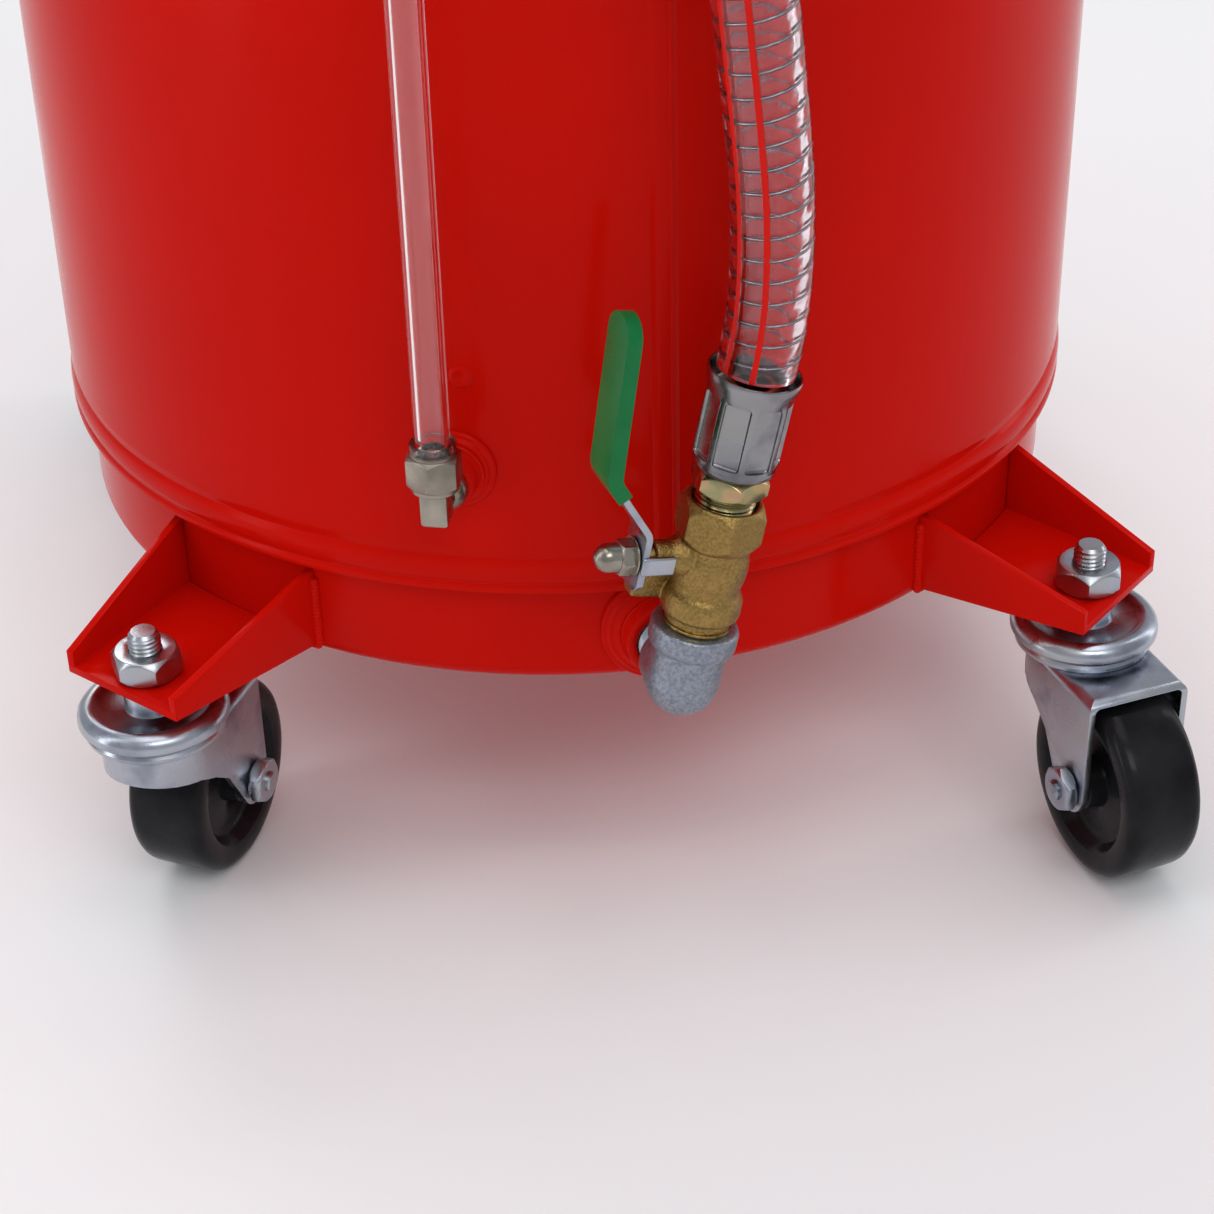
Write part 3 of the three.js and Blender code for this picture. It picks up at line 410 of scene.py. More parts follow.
def hose_wire():
    """The steel wire in the hose's wall, one long helix."""
    total = round(hose_length / WIRE_PITCH * WIRE_STEPS)
    line = []
    for i in range(4, total - 4):
        at = i / total * (len(hose_line) - 1)
        j = min(int(at), len(hose_line) - 2)
        share = at - j
        centre = hose_line[j].lerp(hose_line[j + 1], share)
        side = hose_frames[j][0].lerp(hose_frames[j + 1][0], share)
        up = hose_frames[j][1].lerp(hose_frames[j + 1][1], share)
        a = 2 * math.pi * i / WIRE_STEPS
        line.append((centre, math.cos(a) * side + math.sin(a) * up))
    sides = 5
    points = []
    for i, (centre, out) in enumerate(line):
        middle = centre + WIRE_COIL_RADIUS * out
        ahead_centre, ahead_out = line[min(i + 1, len(line) - 1)]
        back_centre, back_out = line[max(i - 1, 0)]
        along = (ahead_centre + WIRE_COIL_RADIUS * ahead_out
                 - back_centre - WIRE_COIL_RADIUS * back_out).normalized()
        across = along.cross(out)
        for k in range(sides):
            a = 2 * math.pi * k / sides
            points.append(middle + WIRE_RADIUS * (math.cos(a) * out + math.sin(a) * across))
    faces = []
    for i in range(len(line) - 1):
        for k in range(sides):
            n = (k + 1) % sides
            faces.append((i * sides + n, i * sides + k, (i + 1) * sides + k, (i + 1) * sides + n))
    faces.append(tuple(range(sides)))
    faces.append(tuple(reversed(range((len(line) - 1) * sides, len(line) * sides))))
    piece = new_piece("hose_wire", points, faces)
    pick(piece)
    bpy.ops.object.mode_set(mode="EDIT")
    bpy.ops.mesh.select_all(action="SELECT")
    bpy.ops.mesh.normals_make_consistent(inside=False)
    bpy.ops.object.mode_set(mode="OBJECT")
    shade(piece, 80)
    return piece


drain_hose = hose_wall()
settle(drain_hose, "root", stripe_material(), ["drain_hose", "hose_coil"])
wire = hose_wire()
steel_wire = finish("steel_wire", (0.45, 0.46, 0.5), 0.22, 1.0, spread=((140, 2), 0.16, 0.35))
settle(wire, "root", steel_wire)

# ---------------------------------------------------------------------------
# Tank
# A rolled and seam-welded steel shell with swaged bands at both ends, closed by
# a pressed bottom head and a domed top head, all sprayed in gloss red.
# ---------------------------------------------------------------------------
TANK_RADIUS = 0.200
TANK_SIDES = 192
SHELL_BOTTOM = 0.136
SHELL_TOP = 0.655
TANK_BOTTOM = 0.095
TANK_SHEET = 0.002
LAP_DEPTH = 0.015
RIM_RADIUS = 0.007
SEAM_AZIMUTH = 3.2
SEAM_WIDTH = 0.012
GUIDE_HOLE = 0.0173
DIMPLE_AZIMUTH = -16.4
DIMPLE_HEIGHT = 0.221
RED = (0.62, 0.005, 0.0015)


def mm(*pairs):
    """Points given in millimetres, in metres."""
    return [(a / 1000, b / 1000) for a, b in pairs]


def arc(cx, cz, radius, start, end, steps):
    angles = [math.radians(start + (end - start) * i / steps) for i in range(steps + 1)]
    return [(cx + radius * math.cos(a), cz + radius * math.sin(a)) for a in angles]


def draw_line(name, points):
    """One vertex drawn out along points of (x, z), in edit mode, as a line."""
    bpy.ops.object.select_all(action="DESELECT")
    bpy.ops.mesh.primitive_plane_add(size=0.01)
    piece = bpy.context.object
    piece.name = name
    bpy.ops.object.mode_set(mode="EDIT")
    bpy.ops.mesh.merge(type="CENTER")
    bpy.ops.transform.translate(value=(points[0][0], 0, points[0][1]))
    for (x, z), (next_x, next_z) in zip(points, points[1:]):
        step = {"value": (next_x - x, 0, next_z - z)}
        bpy.ops.mesh.extrude_region_move(TRANSFORM_OT_translate=step)
    bpy.ops.mesh.select_all(action="SELECT")
    return piece


def close_up(piece):
    """Ends an edit: doubles merged and normals turned outwards."""
    bpy.ops.mesh.select_all(action="SELECT")
    bpy.ops.mesh.remove_doubles(threshold=1e-6)
    bpy.ops.mesh.normals_make_consistent(inside=False)
    bpy.ops.object.mode_set(mode="OBJECT")
    piece.select_set(False)
    return piece


def turned(name, profile, sides=48):
    """A profile of (radius, height) points, spun about Z."""
    piece = draw_line(name, profile)
    bpy.ops.mesh.spin(steps=sides, angle=2 * math.pi, center=(0, 0, 0), axis=(0, 0, 1))
    return close_up(piece)


def ring(name, profile, sides=48):
    """A closed profile, spun about Z."""
    return turned(name, [*profile, profile[0]], sides)


def slab(name, outline, low, high):
    """An outline of (x, z) points, filled and drawn out along Y from low to high."""
    piece = draw_line(name, [*outline, outline[0]])
    bpy.ops.mesh.remove_doubles(threshold=1e-6)
    bpy.ops.mesh.edge_face_add()
    bpy.ops.transform.translate(value=(0, low, 0))
    bpy.ops.mesh.extrude_region_move(TRANSFORM_OT_translate={"value": (0, high - low, 0)})
    return close_up(piece)


def put(piece, matrix):
    """Sets a piece's place in its mesh."""
    pick(piece)
    piece.matrix_world = matrix @ piece.matrix_world
    bpy.ops.object.transform_apply(location=True, rotation=True, scale=True)
    piece.select_set(False)
    return piece


def apply(piece, modifier):
    pick(piece)
    bpy.ops.object.modifier_apply(modifier=modifier.name)
    piece.select_set(False)


def combine(piece, tool, operation="DIFFERENCE"):
    """Cuts, joins or meets a piece with a tool, which is used up."""
    modifier = piece.modifiers.new("combine", "BOOLEAN")
    modifier.operation = operation
    modifier.solver = "EXACT"
    modifier.object = tool
    apply(piece, modifier)
    bpy.data.objects.remove(tool)
    return piece


def ease(piece, width, segments=2, angle=35):
    """Rounds the sharp edges."""
    modifier = piece.modifiers.new("ease", "BEVEL")
    modifier.width = width
    modifier.segments = segments
    modifier.limit_method = "ANGLE"
    modifier.angle_limit = math.radians(angle)
    modifier.use_clamp_overlap = True
    apply(piece, modifier)
    return piece


def join(name, *pieces):
    bpy.ops.object.select_all(action="DESELECT")
    for piece in pieces:
        piece.select_set(True)
    bpy.context.view_layer.objects.active = pieces[0]
    bpy.ops.object.join()
    pieces[0].name = name
    pieces[0].select_set(False)
    return pieces[0]


def spare(piece, name):
    """A copy with its own mesh."""
    copy = piece.copy()
    copy.data = piece.data.copy()
    copy.name = name
    bpy.context.collection.objects.link(copy)
    return copy


def turn(degrees, axis):
    return Matrix.Rotation(math.radians(degrees), 4, axis)


def shift(x, y, z):
    return Matrix.Translation((x, y, z))


OUTWARD = turn(90, "X")     # what was made along +Z points out of the tank's front


# Sprayed gloss enamel: a little orange peel, dust and colour drift.
red_paint = finish("red_paint", RED, 0.14,
                   stops=((5, 3), (0.3, tuple(0.86 * c for c in RED)), (0.7, RED)),
                   spread=((22, 4), 0.11, 0.2),
                   bumps=[((260, 2), 0.12, 0.0003), ((14, 1), 0.1, 0.002)],
                   also={"Specular IOR Level": 0.04})

BAND = mm((200.0, 0), (200.7, 0.6), (200.9, 1.8), (200.7, 3.0), (200.1, 3.9), (200.1, 4.6),
          (200.6, 5.4), (200.9, 7.2), (200.9, 9.6), (200.7, 11.6), (200.1, 13.2),
          (199.5, 14.2), (199.5, 15.2), (200.0, 16.8), (200.0, 18.6))
lower_band = [(r, SHELL_BOTTOM + z) for r, z in BAND]
upper_band = [(r, SHELL_TOP - z) for r, z in reversed(BAND)]
inside = TANK_RADIUS - TANK_SHEET
tank_wall = ring("tank_wall", [*lower_band, *upper_band, (inside, SHELL_TOP),
                               (inside, SHELL_BOTTOM)], TANK_SIDES)
settle(tank_wall, "root", red_paint, ["tank_shell"], angle=30)

head_inside = HEAD_RADIUS - TANK_SHEET
bottom_pan = turned("bottom_pan", [
    (0, TANK_BOTTOM + TANK_SHEET),
    *arc(HEAD_RADIUS - RIM_RADIUS, TANK_BOTTOM + RIM_RADIUS, RIM_RADIUS - TANK_SHEET, -90, 0, 6),
    (head_inside, SHELL_BOTTOM + LAP_DEPTH),
    (HEAD_RADIUS, SHELL_BOTTOM + LAP_DEPTH),
    *arc(HEAD_RADIUS - RIM_RADIUS, TANK_BOTTOM + RIM_RADIUS, RIM_RADIUS, 0, -90, 10),
    (0, TANK_BOTTOM),
], TANK_SIDES)
settle(bottom_pan, "root", red_paint, ["bottom_head"], angle=30)


def dome_profile(radius, lift, steps=28):
    points = []
    for i in range(steps + 1):
        r = GUIDE_HOLE + (radius - GUIDE_HOLE) * math.sin(math.pi / 2 * i / steps)
        rise = (DOME_HEIGHT + lift) * math.sqrt(max(0, 1 - (r / radius) ** 2))
        points.append((r, DOME_BASE + rise))
    return points


top_dome = ring("top_dome", [
    *dome_profile(HEAD_RADIUS, 0),
    (HEAD_RADIUS, SHELL_TOP - LAP_DEPTH),
    (head_inside, SHELL_TOP - LAP_DEPTH),
    *reversed(dome_profile(head_inside, -TANK_SHEET)),
], TANK_SIDES)
settle(top_dome, "root", red_paint, ["top_head"], angle=30)

# The shell's seam: a low, broad weld with a raised line where it was rolled flat.
seam_low = SHELL_BOTTOM + BAND[-1][1]
seam_high = SHELL_TOP - BAND[-1][1]
seam = slab("shell_seam", [(-SEAM_WIDTH / 2, -0.0006), (SEAM_WIDTH / 2, -0.0006),
                           (SEAM_WIDTH / 2 - 0.003, 0.0007), (-SEAM_WIDTH / 2 + 0.0035, 0.0007)],
            seam_low, seam_high)
ease(seam, 0.0022, 4, 12)
line = slab("seam_line", [(0.0015, 0), (0.0036, 0), (0.0031, 0.0011), (0.0021, 0.0012)],
            seam_low, seam_high)
ease(line, 0.0004, 2)
seam = join("shell_seam", seam, line)
put(seam, turn(SEAM_AZIMUTH, "Z") @ shift(0, -TANK_RADIUS, 0) @ turn(90, "X"))
settle(seam, "root", red_paint, angle=50)

# A shallow ring left by a spot weld, under the enamel.
dimple = turned("spot_weld", mm((0, 0.15), (1.6, 0.15), (2.4, 0.55), (3.1, 0.6), (3.9, 0.2),
                                (4.6, -0.3), (0, -0.3)), 32)
put(dimple, turn(DIMPLE_AZIMUTH, "Z") @ shift(0, -TANK_RADIUS, DIMPLE_HEIGHT) @ OUTWARD)
settle(dimple, "root", red_paint, angle=60)

# ---------------------------------------------------------------------------
# Legs
# Four trays folded from 3 mm plate, their flanges sloping down to the outer end,
# welded to the bottom head and sprayed with the tank.
# ---------------------------------------------------------------------------
CORNERS = {"front_right": 45, "rear_right": 135, "rear_left": -135, "front_left": -45}
LEG_HEIGHT = 0.100
LEG_HALF_WIDTH = 0.0339     # at the tank
LEG_FLANGE = 0.0307         # at the tank
DROP_RADIUS = 0.0021
DROP_STEP = 0.0016


def plate_copy(node, name):
    """A copy of a CAD node's flat plates, merged, with its facets joined again."""
    piece = frame["nodes"][node].copy()
    piece.data = piece.data.copy()
    piece.name = name
    piece.parent = None
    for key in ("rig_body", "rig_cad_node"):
        del piece[key]
    bpy.context.collection.objects.link(piece)
    pick(piece)
    bpy.ops.object.mode_set(mode="EDIT")
    bpy.ops.mesh.select_all(action="SELECT")
    bpy.ops.mesh.remove_doubles(threshold=1e-5)
    bpy.ops.mesh.dissolve_limited(angle_limit=math.radians(1))
    bpy.ops.object.mode_set(mode="OBJECT")
    piece.select_set(False)
    return piece


def weld_drops(name, count):
    """A row of drops of weld metal along Z, each half over the last."""
    bpy.ops.object.select_all(action="DESELECT")
    bpy.ops.mesh.primitive_uv_sphere_add(segments=12, ring_count=8, radius=DROP_RADIUS)
    piece = bpy.context.object
    piece.name = name
    bpy.ops.object.mode_set(mode="EDIT")
    bpy.ops.transform.rotate(value=math.radians(25), orient_axis="X", center_override=(0, 0, 0))
    bpy.ops.transform.resize(value=(1, 1, 0.75), center_override=(0, 0, 0))
    bpy.ops.object.mode_set(mode="OBJECT")
    row = piece.modifiers.new("row", "ARRAY")
    row.count = count
    row.use_relative_offset = False
    row.use_constant_offset = True
    row.constant_offset_displace = (0, 0, DROP_STEP)
    apply(piece, row)
    return piece


def leg_welds(name):
    """The beads where a leg meets the bottom head: up both flanges, under the web."""
    wall = -math.sqrt(HEAD_RADIUS ** 2 - LEG_HALF_WIDTH ** 2) - 0.0006
    beads = []
    for side in (-1, 1):
        bead = weld_drops("flange_bead", round((LEG_FLANGE - 0.003) / DROP_STEP))
        put(bead, shift(side * (LEG_HALF_WIDTH + 0.0004), wall, LEG_HEIGHT + 0.0015))
        beads.append(bead)
    half_turn = math.degrees(math.asin(LEG_HALF_WIDTH / HEAD_RADIUS))
    count = round(2 * LEG_HALF_WIDTH / DROP_STEP)
    for i in range(count + 1):
        drop = weld_drops("web_drop", 1)
        azimuth = half_turn * (2 * i / count - 1)
        put(drop, turn(azimuth, "Z") @ shift(0, -HEAD_RADIUS - 0.0004, LEG_HEIGHT - 0.0003)
            @ turn(90, "Y"))
        beads.append(drop)
    return join(name, *beads)


first_welds = leg_welds("leg_welds")
for corner, azimuth in CORNERS.items():
    leg = plate_copy(f"leg_{corner}", f"leg_tray_{corner}")
    ease(leg, 0.0005, 2, 20)
    settle(leg, "root", red_paint, [f"leg_{corner}"], angle=40)
    welds = spare(first_welds, f"leg_welds_{corner}")
    put(welds, turn(azimuth, "Z"))
    settle(welds, "root", red_paint, angle=60)
bpy.data.objects.remove(first_welds)

# ---------------------------------------------------------------------------
# Casters
# Threaded-stem swivel casters: zinc-plated pressed forks on two ball races, a
# bolt for an axle, and a solid black wheel with a recessed hub.
# ---------------------------------------------------------------------------
TRAILS = {"front_right": 13.3, "rear_right": 168, "rear_left": -160, "front_left": 153}
STEM_REACH = 0.245
STEM_RADIUS = 0.006
FORK_TOP = 0.080
FORK_SHEET = 0.0025
FORK_HALF = 0.0205
FORK_TAIL = 0.042
CASTER_TRAIL = 0.032
WHEEL_RADIUS = 0.0375
WHEEL_HALF = 0.015
AXLE_FLATS = 0.016
STEM_FLATS = 0.023
THREAD_PITCH = 0.00175
THREAD_LOW, THREAD_HIGH = 0.1005, 0.1205
STEM_NUT_LOW, STEM_NUT_HIGH = 0.1031, 0.1133
BOLT_FACE = 0.0208      # underside of the axle's head and nut, from the fork's middle
BOLT_HEAD_END = 0.0260
BOLT_NUT_END = 0.0261


def threaded(name, radius, depth, pitch, low, high, steps=24):
    """A screw thread: a small triangle swept up a helix, closed at both ends."""
    root = radius - depth
    piece = draw_line(name, [(root - 0.0003, low), (root, low), (radius, low + 0.45 * pitch),
                             (root, low + 0.9 * pitch), (root - 0.0003, low + 0.9 * pitch),
                             (root - 0.0003, low)])
    bpy.ops.mesh.remove_doubles(threshold=1e-6)
    bpy.ops.object.mode_set(mode="OBJECT")
    screw = piece.modifiers.new("screw", "SCREW")
    screw.screw_offset = pitch
    screw.iterations = max(1, round((high - low) / pitch) - 1)
    screw.steps = steps
    screw.render_steps = steps
    screw.use_merge_vertices = False
    apply(piece, screw)
    pick(piece)
    bpy.ops.object.mode_set(mode="EDIT")
    bpy.ops.mesh.select_all(action="SELECT")
    bpy.ops.mesh.fill_holes(sides=6)
    return close_up(piece)


def drum(name, radius, low, high, sides=32):
    """A plain round bar along Z, used as a tool or a core."""
    return turned(name, [(0, low), (radius, low), (radius, high), (0, high)], sides)


def hexagon(name, flats, low, high, chamfer=0.35, bore=0):
    """A hexagon with its corners turned back at both ends, by a share of the corner."""
    corner = flats / 2 / math.cos(math.radians(30))
    bpy.ops.object.select_all(action="DESELECT")
    bpy.ops.mesh.primitive_cylinder_add(vertices=6, radius=corner, depth=high - low,
                                        location=(0, 0, (low + high) / 2))
    piece = bpy.context.object
    piece.name = name
    bpy.ops.object.transform_apply(location=True)
    face = flats / 2 * 0.95
    fall = (corner - face) * chamfer * 1.7
    lens = turned("lens", [(0, low), (face, low), (corner + 0.0001, low + fall),
                           (corner + 0.0001, high - fall), (face, high), (0, high)], 48)
    combine(piece, lens, "INTERSECT")
    if bore:
        combine(piece, drum("bore", bore, low - 0.001, high + 0.001))
    ease(piece, 0.00018, 2, 20)
    return piece


def zinc_material(name, dark, light, rough):
    """Bright plating, faintly blue and yellow in places, with fine rolling marks."""
    warm = (light[0], 0.97 * light[1], 0.88 * light[2])
    return finish(name, light, rough, 1.0,
                  stops=((38, 3), (0.25, dark), (0.45, light), (0.62, warm), (0.8, dark)),
                  spread=((90, 4), rough - 0.08, rough + 0.12),
                  bumps=[((700, 2, (1, 1, 0.15)), 0.08, 0.0002)])


bright_zinc = zinc_material("bright_zinc", (0.17, 0.19, 0.24), (0.42, 0.45, 0.51), 0.28)


# Moulded black plastic: glossy tread, dusty and scuffed in the recesses.
wheel_black = finish("wheel_black", (0.009, 0.009, 0.010), 0.2,
                     stops=((45, 5), (0.35, (0.006, 0.006, 0.007)),
                            (0.75, (0.020, 0.020, 0.022))),
                     spread=((70, 5), 0.12, 0.34), bumps=[((400, 3), 0.08, 0.0003)],
                     also={"Specular IOR Level": 0.12})

caster_top = turned("caster_top", mm(
    (0, 72.5), (9, 72.5), (9, 76.5), (6, 76.5), (6, 84), (24.5, 84), (26.6, 84.4),
    (27.5, 85.6), (27.5, 87.2), (27.1, 88.8), (26.0, 90.2), (24.4, 91.2), (22.6, 91.6),
    (21.2, 91.3), (20.0, 90.3), (18.6, 89.4), (12.5, 89.2), (10.6, 89.8), (10.0, 91.0),
    (10.0, 99.1), (9.6, 99.7), (6, 99.7), (5.4, 100.5), (5.4, 119.6), (4.4, 120.8), (0, 121)), 64)
thread = threaded("stem_thread", STEM_RADIUS, 0.0008, THREAD_PITCH, THREAD_LOW, THREAD_HIGH)
caster_top = join("caster_top", caster_top, thread)
shade(caster_top, 35)

stem_nut = hexagon("stem_nut", STEM_FLATS, STEM_NUT_LOW, STEM_NUT_HIGH, 0.75,
                   STEM_RADIUS + 0.0001)
shade(stem_nut, 35)


def fork_outline(half, tail, steps=16):
    return [(tail, -half), (tail, half), *arc(0, 0, half, 90, 270, steps)]


def fork_block(name, inset, low, high, tail, bend):
    """The fork's blank: round at the front, its top edge bent down all round."""
    outline = fork_outline(FORK_HALF - inset, tail)
    piece = put(slab(name, outline, -high, -low), turn(-90, "X"))
    pick(piece)
    bpy.ops.object.mode_set(mode="EDIT")
    bpy.ops.mesh.select_all(action="DESELECT")
    bpy.ops.object.mode_set(mode="OBJECT")
    for edge in piece.data.edges:
        a, b = (piece.data.vertices[v].co for v in edge.vertices)
        across_tail = abs(a.x - tail) < 1e-5 and abs(b.x - tail) < 1e-5
        edge.select = abs(a.z - high) < 1e-5 and abs(b.z - high) < 1e-5 and not across_tail
    pick(piece)
    bpy.ops.object.mode_set(mode="EDIT")
    bpy.ops.mesh.select_mode(type="EDGE")
    bpy.ops.mesh.bevel(offset=bend, segments=5, affect="EDGES")
    bpy.ops.mesh.select_mode(type="VERT")
    return close_up(piece)


under = FORK_TOP - FORK_SHEET
fork = fork_block("fork", 0, 0.010, FORK_TOP, FORK_TAIL, 0.0042)
room = fork_block("room", FORK_SHEET, 0.005, under, FORK_TAIL + 0.006, 0.0019)
combine(fork, room)
cheek = slab("cheek", [
    (FORK_TAIL, FORK_TOP + 0.001),
    (FORK_TAIL, WHEEL_RADIUS + 0.004),
    *arc(CASTER_TRAIL, WHEEL_RADIUS, 0.010, 8, -146, 14),
    (0.0125, under - 0.0262),
    (0.003, under - 0.0190),
    (-0.006, under - 0.0142),
    (-FORK_HALF - 0.001, under - 0.011),
    (-FORK_HALF - 0.001, FORK_TOP + 0.001),
], -0.03, 0.03)
combine(fork, cheek, "INTERSECT")
combine(fork, drum("king_hole", 0.0066, 0.06, 0.09))
axle_place = shift(CASTER_TRAIL, 0, WHEEL_RADIUS) @ OUTWARD
combine(fork, put(drum("axle_hole", 0.0043, -0.03, 0.03), axle_place))
ease(fork, 0.0004, 2, 30)
raceway = ring("raceway", mm((6.6, 79.6), (24.6, 79.6), (25.4, 80.4), (25.6, 81.8), (24.8, 83.0),
                             (23.2, 83.4), (21.4, 83.1), (19.5, 82.4), (8, 82.4), (6.6, 82.0)), 64)
fork = join("fork", fork, raceway)
shade(fork, 35)

bolt = hexagon("bolt", AXLE_FLATS, -BOLT_HEAD_END, -BOLT_FACE, 0.6)
bolt_nut = hexagon("bolt_nut", AXLE_FLATS, BOLT_FACE, BOLT_NUT_END, 0.6)
shank = turned("shank", mm((0, -21), (4, -21), (4, 27.2), (3.4, 27.9), (0, 27.9)), 32)
bolt = join("bolt", bolt, bolt_nut, shank)
put(bolt, axle_place)
shade(bolt, 35)

tread = WHEEL_RADIUS * 1000
side = WHEEL_HALF * 1000
half_wheel = [
    (4.4, 17.0), (8.8, 17.0), (9.6, 16.2), (9.9, 11.2), (10.6, 9.6), (12.2, 9.0), (21.8, 8.6),
    (23.6, 9.0), (24.8, 10.0), (26.2, 13.2), (27.4, 14.5), (29.0, side), (33.0, side),
    (34.6, side - 0.35), (36.0, side - 1.3), (37.0, side - 2.8), (37.4, side - 4.6),
    (tread, side - 7.5),
]
wheel = ring("wheel", mm(*half_wheel, *[(r, -z) for r, z in reversed(half_wheel)]), 96)
put(wheel, axle_place)
shade(wheel, 28)

for corner, azimuth in CORNERS.items():
    swivel = turn(azimuth, "Z") @ shift(0, -STEM_REACH, 0)
    trail = swivel @ turn(TRAILS[corner] - 90 - azimuth, "Z")
    fork_body, wheel_body = f"caster_{corner}", f"wheel_{corner}"
    for first, name, place, body, look, slot, node in (
            (caster_top, "caster_top", swivel, "root", bright_zinc, "bright_zinc", "caster_stem"),
            (stem_nut, "stem_hex_nut", swivel, "root", bright_zinc, "bright_zinc", "stem_nut"),
            (fork, "caster_fork", trail, fork_body, bright_zinc, "bright_zinc", "fork"),
            (bolt, "axle", trail, fork_body, bright_zinc, "bright_zinc", "axle_bolt"),
            (wheel, "caster_wheel", trail, wheel_body, wheel_black, "black_plastic", "wheel")):
        piece = put(spare(first, f"{name}_{corner}"), place)
        settle(piece, body, look, [f"{node}_{corner}"])
for first in (caster_top, stem_nut, fork, bolt, wheel):
    bpy.data.objects.remove(first)

# ---------------------------------------------------------------------------
# Outlet
# A steel socket welded into the bottom head, with a galvanised cast street elbow
# screwed into it. The valve line leans from the elbow towards the right.
# ---------------------------------------------------------------------------
OUTLET_AZIMUTH = 2.8
OUTLET_HEIGHT = 0.117
OUTLET_FACE = 0.2067
ELBOW_REACH = 0.024
ELBOW_CENTRE = OUTLET_FACE + ELBOW_REACH
PIPE_PITCH = 0.0018
VALVE_LEAN = 12
VALVE_TURN = 12
CAST_GRAIN = 0.00055    # voxels of the cast pieces, which round their inner corners

outlet_front = turn(OUTLET_AZIMUTH, "Z")
outlet_line = outlet_front @ shift(0, -ELBOW_CENTRE, OUTLET_HEIGHT)
valve_line = outlet_line @ turn(VALVE_LEAN, "Y")
stem_line = valve_line @ turn(VALVE_TURN, "Z")


def cast(piece, grain, rounds):
    """Melts joined solids into one casting and softens it."""
    pick(piece)
    piece.data.remesh_voxel_size = grain
    bpy.ops.object.voxel_remesh()
    smooth = piece.modifiers.new("smooth", "SMOOTH")
    smooth.factor = 0.5
    smooth.iterations = rounds
    apply(piece, smooth)
    return piece


def ball(name, radius, segments=40):
    bpy.ops.object.select_all(action="DESELECT")
    bpy.ops.mesh.primitive_uv_sphere_add(segments=segments, ring_count=segments // 2,
                                         radius=radius)
    piece = bpy.context.object
    piece.name = name
    piece.select_set(False)
    return piece


def weld_socket(name, face, radius, toe, wall, bore):
    """A turned socket with the ripples of its weld round its foot."""
    return turned(name, [
        (0, wall - 0.005),
        (toe, wall - 0.005),
        *arc(toe - 0.0012, wall + 0.0004, 0.0013, -30, 100, 6),
        *arc(toe - 0.0034, wall + 0.0016, 0.0014, 20, 100, 5),
        *arc(radius + 0.0012, wall + 0.0034, 0.0013, 40, 110, 5),
        (radius, wall + 0.0056),
        (radius, face - 0.0008),
        (radius - 0.0008, face),
        (bore + 0.0006, face),
        (bore, face - 0.0006),
        (bore, face - 0.008),
        (0, face - 0.008),
    ], 64)


outlet_socket = weld_socket("outlet_socket", OUTLET_FACE, 0.0145, 0.0218, HEAD_RADIUS, 0.0108)
put(outlet_socket, outlet_front @ shift(0, 0, OUTLET_HEIGHT) @ OUTWARD)
settle(outlet_socket, "root", red_paint, ["outlet_boss"], angle=50)


# Hot-dipped cast iron: blue-grey, mottled, with a rough skin.
galvanised = finish("galvanised_iron", (0.40, 0.44, 0.50), 0.45, 0.85,
                    stops=((800, 5), (0.3, (0.19, 0.21, 0.26)), (0.48, (0.26, 0.285, 0.335)),
                           (0.62, (0.33, 0.36, 0.415)), (0.78, (0.24, 0.265, 0.31))),
                    spread=((500, 4), 0.30, 0.5), bumps=[((1100, 3), 0.5, 0.0004)])

elbow = join(
    "elbow",
    put(drum("inlet_arm", 0.0124, 0, 0.0145, 48), turn(-90, "X")),
    put(drum("inlet_neck", 0.0116, 0, 0.0170, 48), turn(-90, "X")),
    put(ball("bend", 0.0128), shift(0, 0, 0.0008)),
    drum("riser", 0.0130, 0, 0.0175, 48),
    turned("band", mm((0, 15.2), (13.4, 15.2), (14.8, 15.9), (15.4, 17.0), (15.4, 22.6),
                      (14.9, 23.6), (14.0, 24.0), (0, 24.0)), 64))
cast(elbow, CAST_GRAIN, 5)
combine(elbow, turned("socket", mm((0, 11), (7.5, 11), (7.5, 13.5), (10.9, 13.5), (10.9, 23.2),
                                   (11.9, 25), (0, 25)), 48))
# The whole elbow leans with the valve line.
put(elbow, valve_line)
settle(elbow, "root", galvanised, ["street_elbow"], angle=45)

elbow_thread = join("elbow_thread",
                    drum("core", 0.0098, 0.0145, ELBOW_REACH + 0.005, 40),
                    threaded("ridge", 0.0105, 0.0008, PIPE_PITCH, 0.0165, ELBOW_REACH + 0.004, 32))
put(elbow_thread, outlet_line @ turn(-90, "X"))
settle(elbow_thread, "root", bright_zinc, angle=40)

# ---------------------------------------------------------------------------
# Ball valve
# A sand-blasted brass body with a machined hexagon and thread, a chromed ball,
# and a zinc-plated lever dipped in green vinyl under a domed nut.
# ---------------------------------------------------------------------------
VALVE_END = 0.0725
STEM_HEIGHT = 0.0515
LEVER_PLANE = 0.027
LEVER_SHEET = 0.0025
LEVER_HALF = 0.007
GRIP_HALF = 0.008
GRIP_THICKNESS = 0.0052
LEVER_TOP = 0.0895
LEVER_BENDS = [(LEVER_PLANE, -0.011), (LEVER_PLANE, 0.011), (0.0445, 0.032),
               (0.0485, LEVER_TOP)]


def brass_material(name, dark, light, rough, grain, grit):
    return finish(name, light, rough, 1.0, stops=((900, 4), (0.35, dark), (0.62, light)),
                  spread=((160, 3), rough - 0.06, rough + 0.1),
                  bumps=[((grain, 3), grit, 0.0004)])


cast_brass = brass_material("cast_brass", (0.26, 0.165, 0.048), (0.37, 0.24, 0.08),
                            0.36, 1300, 0.8)
cut_brass = brass_material("cut_brass", (0.32, 0.20, 0.05), (0.58, 0.41, 0.15),
                           0.2, 500, 0.08)

